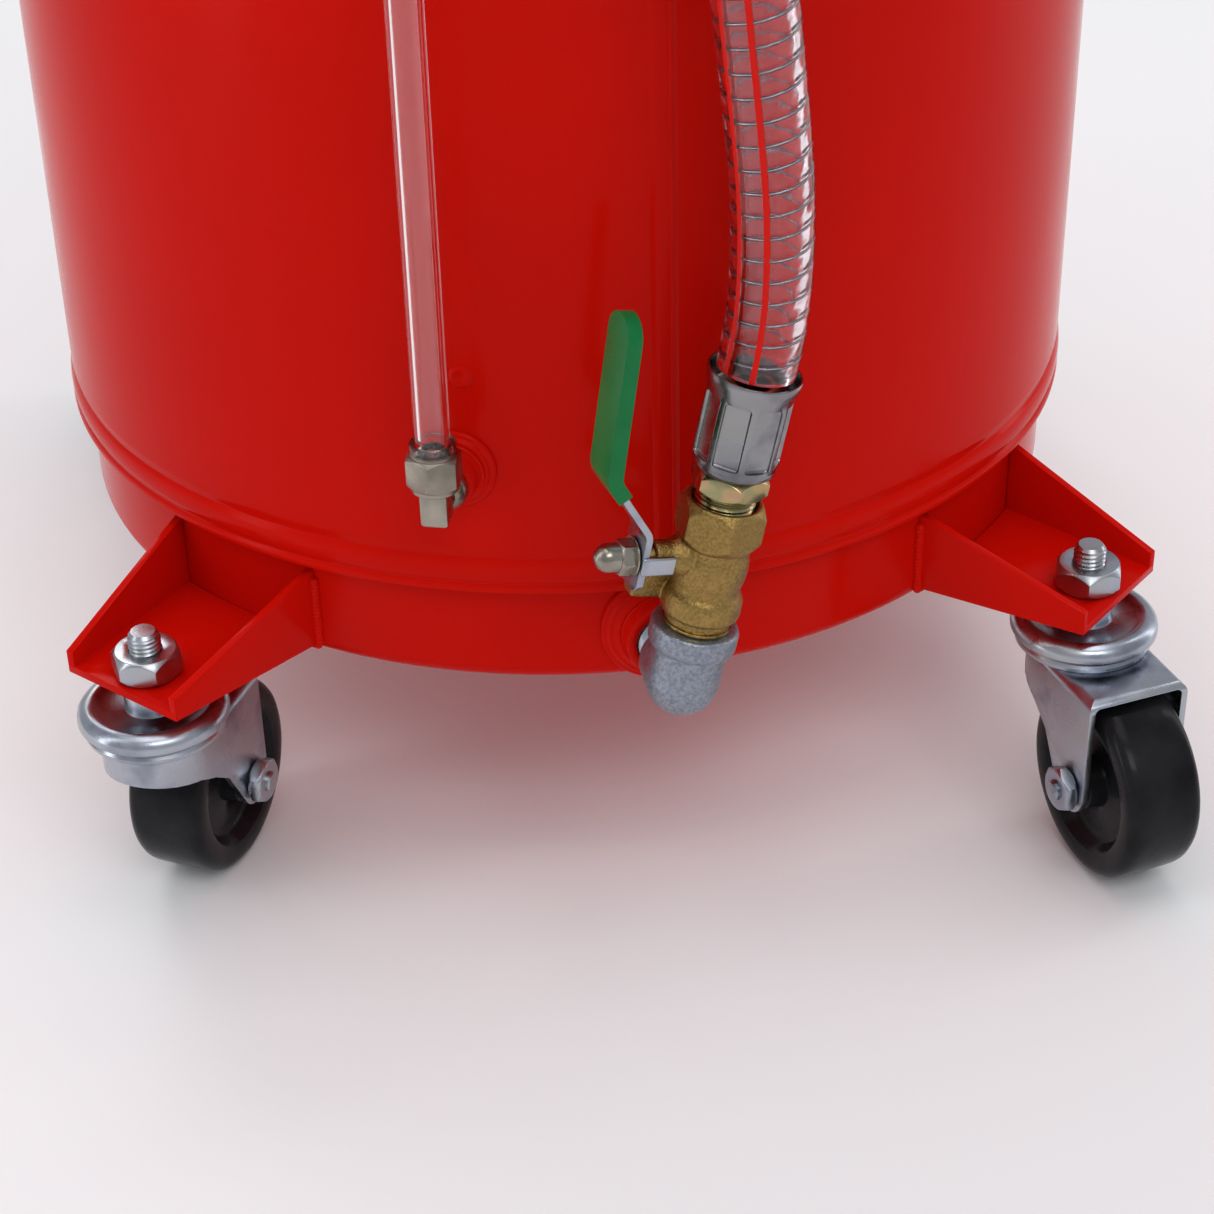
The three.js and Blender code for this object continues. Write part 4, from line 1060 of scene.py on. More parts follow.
barrel = turned("barrel", mm((0, 25.4), (11.4, 25.4), (11.4, 28.6), (13.2, 29.2), (13.9, 30.4),
                             (13.9, 35.4), (13.3, 37.2), (12.2, 38.8), (11.9, 40.4), (12.6, 43.4),
                             (13.0, 46.4), (13.0, 51.0), (12.2, 53.6), (11.9, 55.4), (12.4, 57.4),
                             (12.6, 60), (0, 60)), 64)
valve_hex = hexagon("valve_hex", 0.027, 0.0567, VALVE_END, 0.75)
neck = turned("neck", mm((0, 0), (7.6, 0), (7.4, 12.5), (6.2, 14.6), (5.5, 16.6), (5.4, 22.4),
                         (4.9, 23), (0, 23)), 40)
stem_side = turn(VALVE_TURN, "Z") @ shift(0, 0, STEM_HEIGHT) @ turn(-90, "Y")
put(neck, stem_side)
lug = slab("lug", mm((-24.8, 32.8), (-9, 31.2), (-9, 43.2), (-24.8, 41.2)), 0.0042, 0.0108)
ease(lug, 0.0008, 3)
put(lug, turn(VALVE_TURN, "Z"))
valve = join("valve", barrel, valve_hex, neck, lug)
cast(valve, CAST_GRAIN, 3)
combine(valve, turned("mouth", mm((0, 58), (10.9, 58), (10.9, 71.2), (12.1, 73), (0, 73)), 48))
combine(valve, drum("waterway", 0.0075, 0, 0.060, 40))
combine(valve, put(drum("stem_hole", 0.0043, 0.005, 0.04), stem_side))
put(valve, valve_line)
settle(valve, "root", cast_brass, ["valve_body"], angle=35)

valve_thread = join("valve_thread",
                    ring("core", mm((7.5, 14), (9.8, 14), (9.8, 26), (7.5, 26)), 40),
                    threaded("ridge", 0.0105, 0.0009, PIPE_PITCH, 0.0155, 0.0250, 32),
                    ring("shoulder", mm((9.0, 24.2), (11.6, 24.2), (12.0, 24.6), (12.0, 25.6),
                                        (9.0, 25.6)), 48))
put(valve_thread, valve_line)
settle(valve_thread, "root", cut_brass, angle=40)

ball_look = finish("ball_chrome", (0.85, 0.86, 0.88), 0.08, 1.0,
                   spread=((80, 2), 0.05, 0.12), bumps=[((300, 2), 0.03, 0.0001)])
valve_ball = ball("ball", 0.0109, 48)
combine(valve_ball, drum("bore", 0.0075, -0.02, 0.02, 48))
combine(valve_ball, put(drum("slot", 0.0043, 0.0080, 0.02, 24), turn(-90, "Y")))
put(valve_ball, stem_line @ shift(0, 0, STEM_HEIGHT))
settle(valve_ball, "valve_lever", ball_look, ["valve_ball"], angle=40)

stem_place = stem_line @ shift(0, 0, STEM_HEIGHT) @ turn(-90, "Y")
stem = turned("stem", mm((0, 8.5), (3.9, 8.5), (3.9, 26.2), (3.4, 26.7), (2.9, 26.7), (2.9, 39.4),
                         (0, 39.4)), 32)
put(stem, stem_place)
settle(stem, "valve_lever", cut_brass, ["valve_stem"], angle=40)


def rounded_line(points, radius, steps=6):
    """A bent line with its inner corners rounded."""
    corners = [Vector((x, 0, z)) for x, z in points]
    line = [corners[0]]
    for before, corner, after in zip(corners, corners[1:], corners[2:]):
        back = (before - corner).normalized()
        ahead = (after - corner).normalized()
        reach = radius / math.tan(back.angle(ahead) / 2)
        centre = corner + (back + ahead).normalized() * radius / math.sin(back.angle(ahead) / 2)
        start = (corner + back * reach - centre).normalized()
        end = (corner + ahead * reach - centre).normalized()
        line += [centre + radius * start.slerp(end, i / steps) for i in range(steps + 1)]
    return line + [corners[-1]]


def ribbon(name, line, thickness, half_width):
    """A strip that follows a line in the XZ plane, half of it on each side."""
    sides = []
    for i, point in enumerate(line):
        ahead = (line[min(i + 1, len(line) - 1)] - line[max(i - 1, 0)]).normalized()
        sides.append((point, Vector((-ahead.z, 0, ahead.x)) * thickness / 2))
    outline = [point + out for point, out in sides] + [point - out for point, out in sides[::-1]]
    return slab(name, [(p.x, p.z) for p in outline], -half_width, half_width)


lever_line = rounded_line([(x + LEVER_SHEET / 2, z) for x, z in LEVER_BENDS], 0.006)
bare_end = lever_line[-1].lerp(lever_line[-2], 0.6)
lever = ribbon("lever", lever_line[:-1] + [bare_end], LEVER_SHEET, LEVER_HALF)
combine(lever, put(slab("foot", [(0.0090, -0.004), (0.0060, -0.0105), (0.003, -0.0120),
                                 (-0.003, -0.0120), (-0.0090, -0.006), (-0.0090, 0.2),
                                 (0.0090, 0.2)], 0, 0.08),
                   turn(-90, "Z")), "INTERSECT")
tab = slab("tab", mm((17, -3.4), (29.4, -3.4), (29.4, 3.4), (17, 3.4)), 0.0058, 0.0080)
ease(tab, 0.0009, 3)
ease(lever, 0.0005, 2, 30)
lever = join("lever", lever, tab)
lever_place = stem_line @ shift(0, 0, STEM_HEIGHT) @ turn(180, "Z")
put(lever, lever_place)
settle(lever, "valve_lever", bright_zinc, ["valve_lever"], angle=35)


# Dipped green vinyl: soft gloss, small runs and a fine grain.
green_vinyl = finish("green_vinyl", (0.0, 0.15, 0.035), 0.32,
                     stops=((40, 3), (0.3, (0.0, 0.13, 0.03)), (0.7, (0.001, 0.18, 0.042))),
                     spread=((90, 3), 0.26, 0.42), bumps=[((260, 2), 0.12, 0.0006)],
                     also={"Specular IOR Level": 0.2, "Coat Weight": 0.08,
                           "Coat Roughness": 0.15})

GRIP_START = (0.0394, 0.0259)
GRIP_LOW = 0.018
grip_line = rounded_line([(x + LEVER_SHEET / 2, z) for x, z in [GRIP_START, *LEVER_BENDS[2:]]],
                         0.008, 8)
grip = ribbon("grip", grip_line, GRIP_THICKNESS, 0.012)
rounded_end = put(slab("rounded_end", [
    (GRIP_HALF, GRIP_LOW), *arc(0, LEVER_TOP - GRIP_HALF - 0.0001, GRIP_HALF, 0, 180, 24),
    (-GRIP_HALF, GRIP_LOW)], 0, 0.08), turn(-90, "Z"))
combine(grip, rounded_end, "INTERSECT")
ease(grip, 0.0024, 5, 40)
put(grip, lever_place)
settle(grip, "valve_lever", green_vinyl, ["lever_grip"], angle=50)


# Nickel plate with a warm, brushed grain and darker handling marks.
nickel = finish("nickel_plate", (0.36, 0.33, 0.27), 0.26, 1.0,
                stops=((55, 4), (0.3, (0.21, 0.185, 0.15)), (0.7, (0.46, 0.425, 0.355))),
                spread=((150, 4), 0.2, 0.4), bumps=[((900, 2, (1, 1, 0.1)), 0.1, 0.0002)])
nut_low = LEVER_PLANE + LEVER_SHEET + 0.0003
nut = hexagon("nut", 0.011, nut_low, nut_low + 0.0058, 0.5)
cap = turned("cap", [(0, nut_low + 0.005), (0.0050, nut_low + 0.005), (0.0050, nut_low + 0.0085),
                     *arc(0, nut_low + 0.0088, 0.0050, 0, 60, 8),
                     *arc(0, nut_low + 0.0102, 0.0038, 40, 90, 6)], 40)
nut = join("nut", nut, cap,
           ring("nut_washer", [(0.0032, nut_low), (0.0066, nut_low), (0.0070, nut_low + 0.0004),
                               (0.0070, nut_low + 0.0009), (0.0032, nut_low + 0.0009)], 40))
put(nut, stem_place)
settle(nut, "valve_lever", nickel, ["lever_nut"], angle=35)

# ---------------------------------------------------------------------------
# Hose ends
# A yellow-passivated nipple screwed into the valve, a zinc ferrule crimped over
# the hose by eight jaws, and a plain steel pouring nozzle at the far end.
# ---------------------------------------------------------------------------
NIPPLE_FLATS = 0.0235
FERRULE_START = 0.0845
FERRULE_END = 0.120
CRIMP_JAWS = 8
CRIMP_DEPTH = 0.0126
NOZZLE_LENGTH = 0.112
NOZZLE_COLLAR = 0.034


# Yellow passivate: gold that drifts to pink and green across the flats.
yellow_zinc = finish("yellow_zinc", (0.42, 0.29, 0.15), 0.24, 1.0,
                     stops=((75, 2), (0.30, (0.38, 0.22, 0.13)), (0.42, (0.45, 0.32, 0.15)),
                            (0.52, (0.30, 0.29, 0.15)), (0.62, (0.48, 0.33, 0.17)),
                            (0.74, (0.42, 0.23, 0.18))),
                     spread=((120, 3), 0.16, 0.34), bumps=[((600, 2), 0.08, 0.0002)])

nipple = join(
    "nipple",
    hexagon("nipple_hex", NIPPLE_FLATS, VALVE_END + 0.0036, FERRULE_START - 0.0002, 0.55),
    ring("core", mm((6.9, 62), (9.7, 62), (9.7, 76.5), (8.8, 77.5), (8.5, 84), (8.5, 116),
                    (6.9, 116)), 48),
    threaded("ridge", 0.0104, 0.0008, PIPE_PITCH, 0.0635, VALVE_END + 0.0040, 32))
put(nipple, valve_line)
settle(nipple, "root", yellow_zinc, ["hose_nipple"], angle=35)

ferrule = ring("ferrule", [
    (0.0089, FERRULE_START),
    (0.0114, FERRULE_START),
    *arc(0.0118, FERRULE_START + 0.0025, 0.0025, -80, 20, 8),
    (0.0146, FERRULE_START + 0.0052),
    (0.0146, FERRULE_START + 0.0255),
    (0.0143, FERRULE_START + 0.0275),
    (0.0148, FERRULE_START + 0.0300),
    (0.0156, FERRULE_START + 0.0325),
    (0.0159, FERRULE_END - 0.0006),
    (0.0157, FERRULE_END),
    (0.0151, FERRULE_END),
    (0.0146, FERRULE_END - 0.0030),
    (0.0137, FERRULE_END - 0.0060),
    (0.0137, FERRULE_END - 0.0075),
    (0.0089, FERRULE_END - 0.0075),
], 96)
jaw_low = FERRULE_START + 0.0048
jaw_high = FERRULE_START + 0.0276
jaws = []
for i in range(CRIMP_JAWS):
    jaw = slab("jaw", [(-0.0046, jaw_low), (0.0046, jaw_low), (0.0046, jaw_high),
                       (-0.0046, jaw_high)], -0.02, -CRIMP_DEPTH)
    ease(jaw, 0.0011, 4)
    jaws.append(put(jaw, turn(360 * (i + 0.35) / CRIMP_JAWS, "Z")))
combine(ferrule, join("jaws", *jaws))
ease(ferrule, 0.0003, 2, 40)
put(ferrule, valve_line)
shade(ferrule, 40)
dull_zinc = zinc_material("dull_zinc", (0.08, 0.08, 0.088), (0.30, 0.30, 0.315), 0.22)
settle(ferrule, "root", dull_zinc, ["hose_ferrule"])

nozzle_way = (coil_point(HOSE_TURNS) - coil_point(HOSE_TURNS - 0.01)).normalized()
nozzle_turn = Vector((0, 0, 1)).rotation_difference(nozzle_way).to_matrix().to_4x4()
nozzle_place = Matrix.Translation(coil_point(HOSE_TURNS)) @ nozzle_turn
nozzle = ring("pouring_nozzle", [
    (0.0060, -0.008),
    (0.0092, -0.008),
    (0.0092, 0.0004),
    (0.0137, 0.0004),
    (0.0142, 0.0012),
    (0.0142, 0.0045),
    (0.0137, 0.0062),
    *[(0.0137 if i % 2 == 0 else 0.0131, 0.0080 + 0.0020 * i) for i in range(9)],
    (0.0136, NOZZLE_COLLAR - 0.005),
    (0.0128, NOZZLE_COLLAR - 0.001),
    (0.0100, NOZZLE_COLLAR + 0.002),
    (0.0095, NOZZLE_COLLAR + 0.004),
    (0.0095, NOZZLE_LENGTH - 0.0008),
    (0.0089, NOZZLE_LENGTH),
    (0.0065, NOZZLE_LENGTH),
    (0.0060, NOZZLE_LENGTH - 0.0008),
], 48)
put(nozzle, nozzle_place)
settle(nozzle, "root", bright_zinc, ["hose_nozzle"], angle=40)

# ---------------------------------------------------------------------------
# Hose hook
# A sprung clip of painted strip on a short stalk that holds the hose's upper end
# off the shell.
# ---------------------------------------------------------------------------
HOOK_HEIGHT = 0.545
HOOK_HALF = 0.010
HOOK_INSIDE = HOSE_RADIUS + 0.0009
HOOK_SHEET = 0.0025
hook_x, hook_y = HOSE_RUN[12][:2]
hook_outline = [*arc(0, 0, HOOK_INSIDE + HOOK_SHEET, -30, 210, 32),
                *arc(0, 0, HOOK_INSIDE, 210, -30, 32)]
clip = slab("clip", hook_outline, -HOOK_HALF, HOOK_HALF)
stalk = slab("stalk", mm((-8, 15.2), (8, 15.2), (8, 33.6), (-8, 33.6)), -HOOK_HALF, HOOK_HALF)
ease(clip, 0.0006, 3)
ease(stalk, 0.0010, 3)
hook = join("hose_clip", clip, stalk)
put(hook, shift(hook_x, hook_y, HOOK_HEIGHT) @ turn(-90, "X") @ turn(180, "Y")
    @ turn(180, "Z") @ turn(180, "Y"))
settle(hook, "root", red_paint, ["hose_hook"], angle=40)

# ---------------------------------------------------------------------------
# Sight gauge
# A clear tube up the front between two nickel-plated elbows with compression
# nuts, each screwed into a small socket welded to the shell.
# ---------------------------------------------------------------------------
GAUGE_AZIMUTH = -17.5
GAUGE_HEIGHTS = {"lower": 0.186, "upper": 0.605}
GAUGE_REACH = 0.228
GAUGE_FACE = 0.212
GAUGE_ARM = GAUGE_REACH - GAUGE_FACE
GAUGE_NUT_FLATS = 0.017
GAUGE_TUBE_RADIUS = 0.006
GAUGE_TUBE_BORE = 0.004

gauge_front = turn(GAUGE_AZIMUTH, "Z")


# Clear extruded tube, with a slight haze and fine draw marks along it.
gauge_plastic = finish("gauge_plastic", (0.97, 0.96, 0.97), 0.04,
                       spread=((60, 3), 0.02, 0.1),
                       bumps=[((500, 2, (1, 1, 0.03)), 0.06, 0.0002)],
                       also={"Transmission Weight": 1.0, "IOR": 1.46})

gauge_stub = slab("stub", mm((-4.6, -3.6), (-2.6, -5.0), (2.6, -5.0), (4.6, -3.6), (4.6, 9.7),
                             (-4.6, 9.7)), -0.0046, 0.0046)
side_point = slab("side_point", mm((-6, -3.6), (-2.6, -5.0), (2.6, -5.0), (6, -3.6), (6, 12),
                                   (-6, 12)), -0.006, 0.006)
combine(gauge_stub, put(side_point, turn(90, "Z")), "INTERSECT")
ease(gauge_stub, 0.0004, 2)
gauge_flange = turned("gauge_flange", [
    (0, GAUGE_ARM - 0.0075), (0.0044, GAUGE_ARM - 0.0075), (0.0052, GAUGE_ARM - 0.0068),
    (0.0068, GAUGE_ARM - 0.0052), (0.0076, GAUGE_ARM - 0.0030), (0.0076, GAUGE_ARM - 0.0012),
    (0.0072, GAUGE_ARM - 0.0004), (0, GAUGE_ARM - 0.0004)], 48)
gauge_arm = drum("gauge_arm", 0.0044, 0, GAUGE_ARM + 0.008, 32)
gauge_end = join("gauge_end", gauge_stub, put(gauge_flange, turn(-90, "X")),
                 put(gauge_arm, turn(-90, "X")),
                 ring("spigot", mm((2, 9), (3.6, 9), (3.6, 21), (3.0, 22), (2, 22)), 32))
gauge_nut = join(
    "gauge_nut",
    hexagon("gauge_hex", GAUGE_NUT_FLATS, 0.0100, 0.0218, 0.5, 0.0063),
    ring("lower_collar", mm((6.3, 8.4), (7.8, 8.4), (8.2, 8.8), (8.2, 10.2), (6.3, 10.2)), 48),
    ring("upper_collar", mm((6.3, 21.5), (7.9, 21.5), (7.9, 22.6), (6.3, 22.6)), 48))
gauge_seal = ring("gauge_seal", mm((6.25, 22.2), (7.4, 22.2), (7.8, 22.6), (7.8, 25.4),
                                   (7.4, 25.9), (6.25, 25.9)), 48)
for first in (gauge_end, gauge_nut, gauge_seal):
    shade(first, 40)

for level, height in GAUGE_HEIGHTS.items():
    socket = weld_socket(f"gauge_socket_{level}", GAUGE_FACE, 0.009, 0.0146, TANK_RADIUS, 0.0046)
    put(socket, gauge_front @ shift(0, 0, height) @ OUTWARD)
    settle(socket, "root", red_paint, [f"gauge_boss_{level}"], angle=50)
    place = gauge_front @ shift(0, -GAUGE_REACH, height)
    if level == "upper":
        place = place @ turn(180, "Y")
    piece = put(spare(gauge_end, f"gauge_elbow_{level}"), place)
    settle(piece, "root", nickel, [f"gauge_fitting_{level}"])
    piece = put(spare(gauge_nut, f"gauge_hex_nut_{level}"), place)
    settle(piece, "root", nickel, [f"gauge_nut_{level}"])
    piece = put(spare(gauge_seal, f"gauge_seal_{level}"), place)
    settle(piece, "root", gauge_plastic)
for first in (gauge_end, gauge_nut, gauge_seal):
    bpy.data.objects.remove(first)

tube_low = GAUGE_HEIGHTS["lower"] + 0.0112
tube_high = GAUGE_HEIGHTS["upper"] - 0.0112
gauge_tube = ring("gauge_tube", [
    (GAUGE_TUBE_BORE, tube_low), (GAUGE_TUBE_RADIUS, tube_low),
    (GAUGE_TUBE_RADIUS, tube_high), (GAUGE_TUBE_BORE, tube_high)], 48)
put(gauge_tube, gauge_front @ shift(0, -GAUGE_REACH, 0))
settle(gauge_tube, "root", gauge_plastic, ["sight_tube"], angle=40)

# ---------------------------------------------------------------------------
# Mast and funnel
# A chromed tube slides in a guide welded to the dome, held by a clamp knob, and
# carries a spun steel bowl with a rolled rim and a perforated strainer.
# ---------------------------------------------------------------------------
CROWN = DOME_BASE + DOME_HEIGHT
GUIDE_TOP = CROWN + 0.060
KNOB_HEIGHT = GUIDE_TOP - 0.018
MAST_RADIUS = 0.016
MAST_BORE = 0.014
MAST_BOTTOM = 0.150
MAST_TOP = 0.950
BOWL_FLOOR = MAST_TOP + 0.006
BOWL_RIM = BOWL_FLOOR + 0.105
STRAINER_HEIGHT = BOWL_RIM - 0.062
STRAINER_RADIUS = 0.095
STRAINER_ROWS = [(0.022, 8), (0.034, 12), (0.046, 16), (0.058, 20), (0.070, 24), (0.082, 28)]
STRAINER_HOLE = 0.0033
KNOB_LOBES = 7

guide = ring("mast_socket", mm(
    (16.3, 688), (17, 688), (17, 702.4), (26.2, 702.4), (27.0, 703.2), (26.8, 704.6),
    (25.2, 706.2), (24.2, 706.8), (23.2, 708.6), (21.4, 710.4), (21.0, 712),
    (21.0, 752), (21.0, 760.6), (20.2, 761.8), (16.9, 761.8), (16.3, 761.2)), 96)
boss = put(drum("boss", 0.009, 0.0185, 0.029, 48), shift(0, 0, KNOB_HEIGHT) @ turn(-90, "Y"))
ease(boss, 0.0008, 3)
screw_hole = put(drum("screw_hole", 0.0043, 0.0, 0.06), shift(0, 0, KNOB_HEIGHT) @ turn(-90, "Y"))
combine(guide, boss, "UNION")
combine(guide, screw_hole)
settle(guide, "root", red_paint, ["mast_guide"], angle=30)


# Moulded black plastic with a fine spark-eroded grain.
black_plastic = finish("black_plastic", (0.012, 0.012, 0.013), 0.38,
                       stops=((60, 4), (0.3, (0.009, 0.009, 0.010)),
                              (0.75, (0.022, 0.022, 0.024))),
                       spread=((110, 3), 0.32, 0.5), bumps=[((900, 2), 0.15, 0.0003)])
knob = turned("knob", [(0, 0.030), (0.0115, 0.030), (0.0122, 0.031), (0.0126, 0.0335),
                       *arc(0.0165, 0.0365, 0.0025, -80, 0, 6),
                       *arc(0.0165, 0.0410, 0.0025, 0, 80, 6),
                       (0.0125, 0.0450), (0.0115, 0.0458), (0, 0.0458)], 96)
notches = []
for i in range(KNOB_LOBES):
    notch = drum("notch", 0.0048, 0.028, 0.048, 32)
    notches.append(put(notch, turn(360 * (i + 0.5) / KNOB_LOBES, "Z") @ shift(0.0212, 0, 0)))
combine(knob, join("notches", *notches))
ease(knob, 0.0007, 3, 40)
screw = join("screw", drum("core", 0.0034, 0.0165, 0.032, 32),
             threaded("ridge", 0.0040, 0.0006, 0.00125, 0.0180, 0.0325, 20))
knob_place = shift(0, 0, KNOB_HEIGHT) @ turn(-90, "Y")
put(knob, knob_place)
put(screw, knob_place)
shade(knob, 35)
shade(screw, 40)
settle(knob, "clamp_knob", black_plastic, ["clamp_knob"])
settle(screw, "clamp_knob", bright_zinc)


# Chromed tube, bright, with fine lengthwise polishing and light scuffs.
chrome = finish("chrome_plate", (0.80, 0.81, 0.83), 0.1, 1.0,
                stops=((30, 3), (0.3, (0.72, 0.73, 0.76)), (0.7, (0.86, 0.87, 0.88))),
                spread=((90, 5, (1, 1, 0.2)), 0.06, 0.2),
                bumps=[((1200, 2, (1, 1, 0.02)), 0.04, 0.0001)])
mast = ring("mast_pipe", [
    (MAST_BORE, MAST_BOTTOM), (MAST_RADIUS - 0.0006, MAST_BOTTOM),
    (MAST_RADIUS, MAST_BOTTOM + 0.0006), (MAST_RADIUS, MAST_TOP - 0.0006),
    (MAST_RADIUS - 0.0006, MAST_TOP), (MAST_BORE, MAST_TOP)], 72)
settle(mast, "mast", chrome, ["mast_tube"], angle=30)

bowl_outer = [
    (0.0193, MAST_TOP - 0.030), (0.0193, BOWL_FLOOR - 0.004),
    *arc(0.0250, BOWL_FLOOR - 0.0030, 0.0057, 180, 97, 6),
    (0.060, BOWL_FLOOR + 0.008), (0.150, BOWL_FLOOR + 0.0340),
    *arc(0.1500, BOWL_FLOOR + 0.0660, 0.0320, -80, -8, 10),
    (0.1890, BOWL_RIM - 0.010),
    *arc(0.1906, BOWL_RIM - 0.0032, 0.0031, -80, 90, 8),
]
bowl_inner = [
    (0.1885, BOWL_RIM - 0.0010), (0.1874, BOWL_RIM - 0.010),
    *arc(0.1500, BOWL_FLOOR + 0.0660, 0.0305, -8, -80, 10),
    (0.060, BOWL_FLOOR + 0.0100), (MAST_BORE, BOWL_FLOOR), (MAST_BORE, MAST_TOP + 0.0003),
    (0.0163, MAST_TOP + 0.0003), (0.0163, MAST_TOP - 0.030),
]
bowl = ring("funnel_pan", [*bowl_outer, *bowl_inner], 160)
settle(bowl, "mast", red_paint, ["funnel_bowl"], angle=35)

strainer = ring("strainer_plate", [
    (0.0001, STRAINER_HEIGHT),
    (STRAINER_RADIUS - 0.0040, STRAINER_HEIGHT),
    (STRAINER_RADIUS - 0.0034, STRAINER_HEIGHT + 0.0004),
    (STRAINER_RADIUS - 0.0008, STRAINER_HEIGHT - 0.0002),
    (STRAINER_RADIUS, STRAINER_HEIGHT + 0.0006),
    (STRAINER_RADIUS - 0.0002, STRAINER_HEIGHT + 0.0016),
    (STRAINER_RADIUS - 0.0040, STRAINER_HEIGHT + 0.0020),
    (0.0001, STRAINER_HEIGHT + 0.0016),
], 96)
punches = []
for reach, count in STRAINER_ROWS:
    for i in range(count):
        punch = turn(360 * i / count, "Z") @ shift(reach, 0, STRAINER_HEIGHT)
        bpy.ops.mesh.primitive_cylinder_add(vertices=12, radius=STRAINER_HOLE, depth=0.01)
        punches.append(put(bpy.context.object, punch))
combine(strainer, join("punches", *punches))
shade(strainer, 35)
feet = ring("strainer_foot", [
    (STRAINER_RADIUS - 0.0080, STRAINER_HEIGHT - 0.0080),
    (STRAINER_RADIUS - 0.0050, STRAINER_HEIGHT - 0.0080),
    (STRAINER_RADIUS - 0.0050, STRAINER_HEIGHT),
    (STRAINER_RADIUS - 0.0080, STRAINER_HEIGHT)], 96)
shade(feet, 35)
strainer = join("strainer_plate", strainer, feet)
settle(strainer, "mast", bright_zinc, ["funnel_strainer"])

# ---------------------------------------------------------------------------
# Push handle
# One length of steel tube bent to a square U, its two ends welded to the back of
# the shell, sprayed red with it.
# ---------------------------------------------------------------------------
HANDLE_HALF = 0.120
HANDLE_RADIUS = 0.0125
HANDLE_LOW = 0.470
HANDLE_TOP = 0.900
HANDLE_BACK = 0.247
HANDLE_CORNER = 0.055
handle_wall = math.sqrt(TANK_RADIUS ** 2 - HANDLE_HALF ** 2) - 0.004


def quarter_bend(start, corner, end, steps=14):
    """The bend of a quadratic curve, as the tube was drawn."""
    points = []
    for i in range(steps + 1):
        t = i / steps
        points.append((1 - t) ** 2 * Vector(start) + 2 * t * (1 - t) * Vector(corner)
                      + t ** 2 * Vector(end))
    return points


right_half = [
    Vector((HANDLE_HALF, handle_wall, HANDLE_LOW)),
    *quarter_bend((HANDLE_HALF, HANDLE_BACK - HANDLE_CORNER, HANDLE_LOW),
                  (HANDLE_HALF, HANDLE_BACK, HANDLE_LOW),
                  (HANDLE_HALF, HANDLE_BACK, HANDLE_LOW + HANDLE_CORNER)),
    *quarter_bend((HANDLE_HALF, HANDLE_BACK, HANDLE_TOP - HANDLE_CORNER),
                  (HANDLE_HALF, HANDLE_BACK, HANDLE_TOP),
                  (HANDLE_HALF - HANDLE_CORNER, HANDLE_BACK, HANDLE_TOP)),
]
handle_line = right_half + [Vector((-p.x, p.y, p.z)) for p in reversed(right_half)]


def tube_along(name, points, radius, sides=12):
    """A round bar along points, made as a curve and turned into a mesh."""
    data = bpy.data.curves.new(name, "CURVE")
    data.dimensions = "3D"
    spline = data.splines.new("POLY")
    spline.points.add(len(points) - 1)
    for point, place in zip(spline.points, points):
        point.co = (*place, 1)
    data.bevel_depth = radius
    data.bevel_resolution = sides
    data.use_fill_caps = True
    piece = bpy.data.objects.new(name, data)
    bpy.context.collection.objects.link(piece)
    pick(piece)
    bpy.ops.object.convert(target="MESH")
    bpy.ops.object.mode_set(mode="EDIT")
    return close_up(bpy.context.object)


handle = tube_along("handle_tube", handle_line, HANDLE_RADIUS)
handle_welds = []
for side in (-1, 1):
    weld = turned("handle_weld", [(0.0118, 0), *arc(0.0128, 0.0012, 0.0024, -60, 100, 8),
                                  (0.0118, 0.0042)], 48)
    put(weld, shift(side * HANDLE_HALF, handle_wall - 0.001, HANDLE_LOW) @ turn(-90, "X"))
    handle_welds.append(weld)
settle(handle, "root", red_paint, ["push_handle"], angle=40)
handle_welds = join("handle_welds", *handle_welds)
settle(handle_welds, "root", red_paint, angle=60)

# ---------------------------------------------------------------------------
# Fittings on the tank's top
# A pressure gauge, a brass relief valve, and a brass air valve with a plated quarter-turn lever,
# each screwed into the dome.
# ---------------------------------------------------------------------------
FITTINGS = {"pressure_gauge": (-35, 0.072), "relief_valve": (-100, 0.070),
            "air_valve": (165, 0.066)}
FITTING_SINK = 0.010
DIAL_HEIGHT = 0.038


def fitting_place(name):
    azimuth, reach = FITTINGS[name]
    return turn(azimuth, "Z") @ shift(0, -reach, dome_height(reach - FITTING_SINK) + 0.0003)


dial_place = fitting_place("pressure_gauge")
dial_case = ring("dial_case", mm(
    (0.1, -12), (19.6, -12), (20.6, -11.4), (21, -10), (21, 10.2), (20.8, 11.4), (20.2, 12),
    (19.2, 12), (18.7, 11.4), (18.6, 9.4), (0.1, 9.4)), 96)
put(dial_case, shift(0, 0, DIAL_HEIGHT) @ turn(90, "X"))
dial_stem = join("dial_stem", hexagon("dial_hex", 0.014, 0.001, 0.012, 0.5),
                 drum("dial_neck", 0.005, 0.011, 0.019, 32),
                 drum("dial_thread", 0.0037, -0.006, 0.002, 24))
put(dial_case, dial_place)
put(dial_stem, dial_place)
shade(dial_case, 35)
shade(dial_stem, 35)
settle(dial_case, "root", black_plastic, ["pressure_gauge"])
settle(dial_stem, "root", cut_brass)

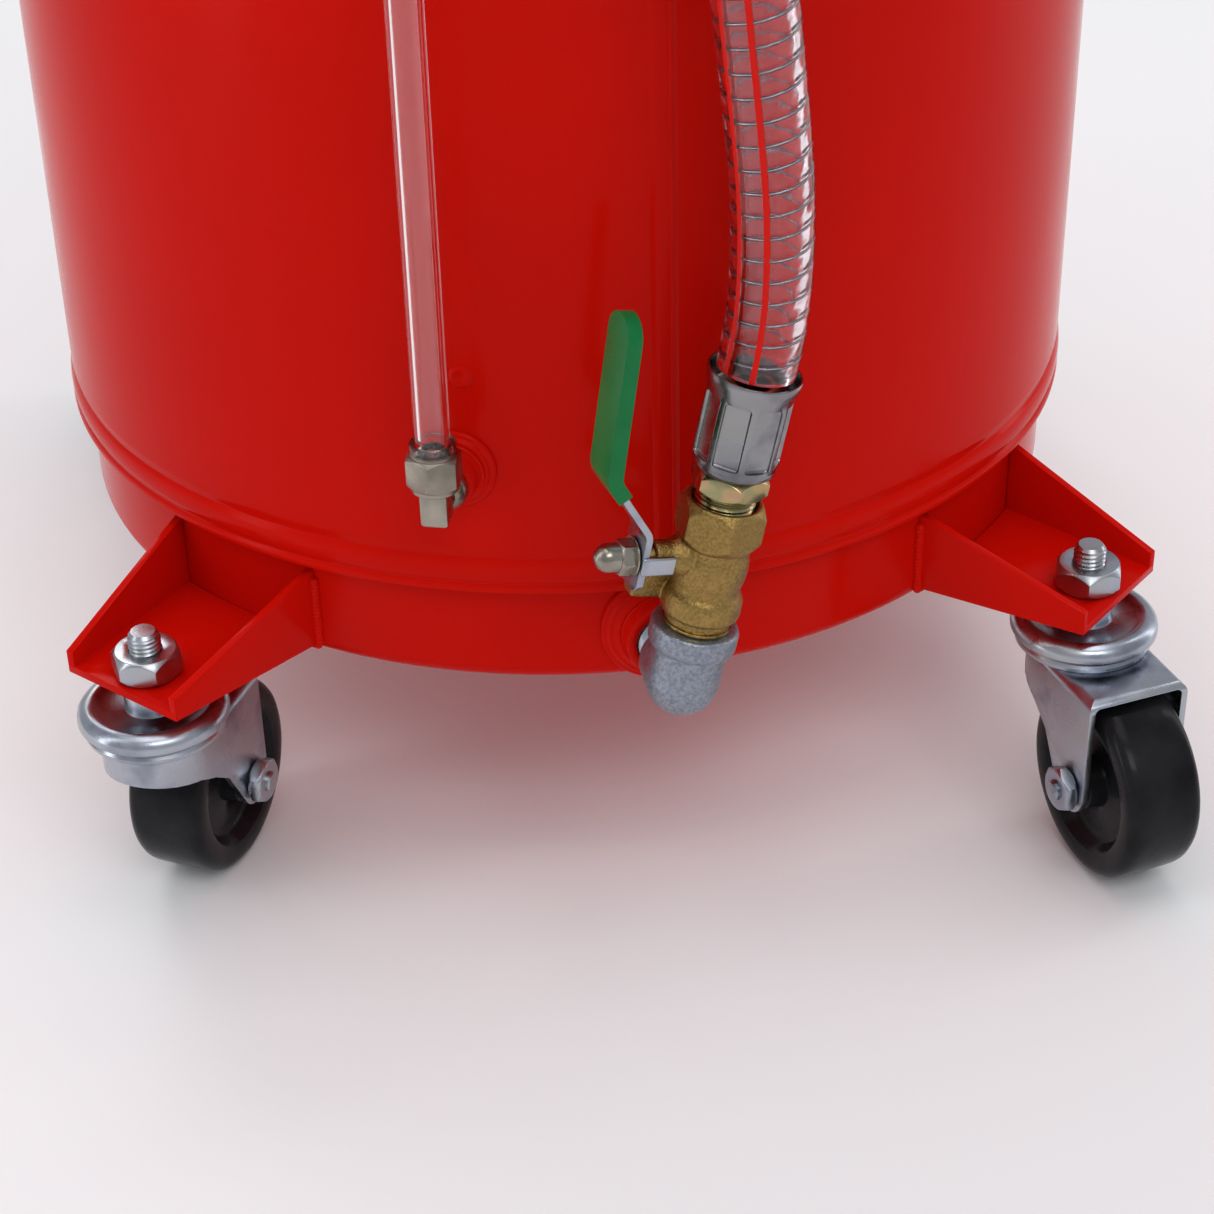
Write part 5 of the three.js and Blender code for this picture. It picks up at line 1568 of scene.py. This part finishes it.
dial_white = finish("dial_white", (0.78, 0.78, 0.76), 0.5,
                    stops=((90, 3), (0.3, (0.74, 0.74, 0.71)), (0.7, (0.81, 0.81, 0.79))),
                    bumps=[((1500, 2), 0.05, 0.0001)])
dial_ink = finish("dial_ink", (0.02, 0.02, 0.02), 0.5,
                  stops=((200, 2), (0.3, (0.015, 0.015, 0.015)), (0.7, (0.03, 0.03, 0.03))),
                  bumps=[((1500, 2), 0.05, 0.0001)])
dial_face = turned("dial_face", mm((0, 9.45), (18.4, 9.45), (18.5, 9.7), (18.4, 9.9),
                                   (0, 9.9)), 64)
put(dial_face, dial_place @ shift(0, 0, DIAL_HEIGHT) @ turn(90, "X"))
settle(dial_face, "root", dial_white, angle=40)
marks = []
for i in range(11):
    mark = slab("mark", mm((-0.35, 13.2 if i % 5 else 11.6), (0.35, 13.2 if i % 5 else 11.6),
                           (0.35, 16.4), (-0.35, 16.4)), -0.01015, -0.00985)
    marks.append(put(mark, turn(-135 + 27 * i, "Y")))
needle = slab("needle", mm((-0.9, -4.5), (0.9, -4.5), (0.55, 0), (0.2, 13.0), (-0.2, 13.0),
                           (-0.55, 0)), -0.0108, -0.0104)
put(needle, turn(-135, "Y"))
pin = put(turned("pin", mm((0, 9.8), (1.6, 9.8), (1.6, 10.9), (1.2, 11.2), (0, 11.2)), 24),
          turn(90, "X"))
dial_marks = join("dial_marks", *marks, needle, pin)
put(dial_marks, dial_place @ shift(0, 0, DIAL_HEIGHT))
settle(dial_marks, "root", dial_ink, angle=40)

relief_place = fitting_place("relief_valve")
relief = join(
    "relief_body",
    drum("relief_thread", 0.0037, -0.006, 0.002, 24),
    hexagon("relief_hex", 0.0145, 0.001, 0.0115, 0.5),
    turned("relief_barrel", mm((0, 11), (6.6, 11), (7, 11.6), (7, 13), (6, 14), (6, 25.4),
                               (7.4, 26.4), (8.0, 27.2), (8.0, 32.0), (7.2, 33.2), (3, 33.6),
                               (2.4, 34), (0, 34)), 48))
for height in (0.0165, 0.0195, 0.0225):
    band = ring("band", [(0.0056, height - 0.0005), (0.0064, height - 0.0005),
                         (0.0066, height), (0.0064, height + 0.0005),
                         (0.0056, height + 0.0005)], 40)
    relief = join("relief_body", relief, band)
put(relief, relief_place)
settle(relief, "root", cut_brass, ["relief_valve"], angle=35)

air_place = fitting_place("air_valve")
air_body = join(
    "air_body",
    drum("air_thread", 0.0037, -0.006, 0.002, 24),
    hexagon("air_low_hex", 0.017, 0.001, 0.012, 0.5),
    turned("air_barrel", mm((0, 11), (8.6, 11), (9, 11.6), (9, 13.5), (8.4, 15), (8.6, 20),
                            (8.4, 25), (9, 27), (9, 29.5), (0, 29.5)), 48),
    hexagon("air_high_hex", 0.017, 0.029, 0.038, 0.5),
    turned("air_plug", mm((0, 37), (4.8, 37), (5, 37.4), (5, 43.6), (5.9, 44.8), (5.9, 46.2),
                          (4.1, 48), (4.0, 51), (4.4, 52.4), (6, 53.6), (6, 56), (5.6, 57),
                          (5.6, 61.4), (5.0, 62), (2.6, 62), (2.6, 58), (0, 58)), 48),
    put(turned("air_neck", mm((0, 6), (5.5, 6), (5.5, 12.2), (5.0, 12.8), (0, 12.8)), 32),
        shift(0, 0, 0.020) @ turn(90, "Y")))
put(air_body, air_place)
settle(air_body, "root", cut_brass, ["air_valve"], angle=35)

air_blade = slab("air_blade", mm((-4.5, 14), (4.5, 14), (4.5, 30), (3.6, 36), (4.2, 50),
                                 *[(a * 1000, b * 1000) for a, b in
                                   arc(0, 0.0538, 0.0042, 0, 180, 12)],
                                 (-4.2, 50), (-3.6, 36), (-4.5, 30)), 0.0136, 0.0158)
ease(air_blade, 0.0006, 3)
put(air_blade, turn(-90, "Z"))
air_stem = put(drum("air_stem", 0.0026, 0.0060, 0.0168, 24), shift(0, 0, 0.020) @ turn(90, "Y"))
air_lever = join("air_handle", air_blade, air_stem)
put(air_lever, air_place)
settle(air_lever, "air_lever", bright_zinc, ["air_lever"], angle=35)
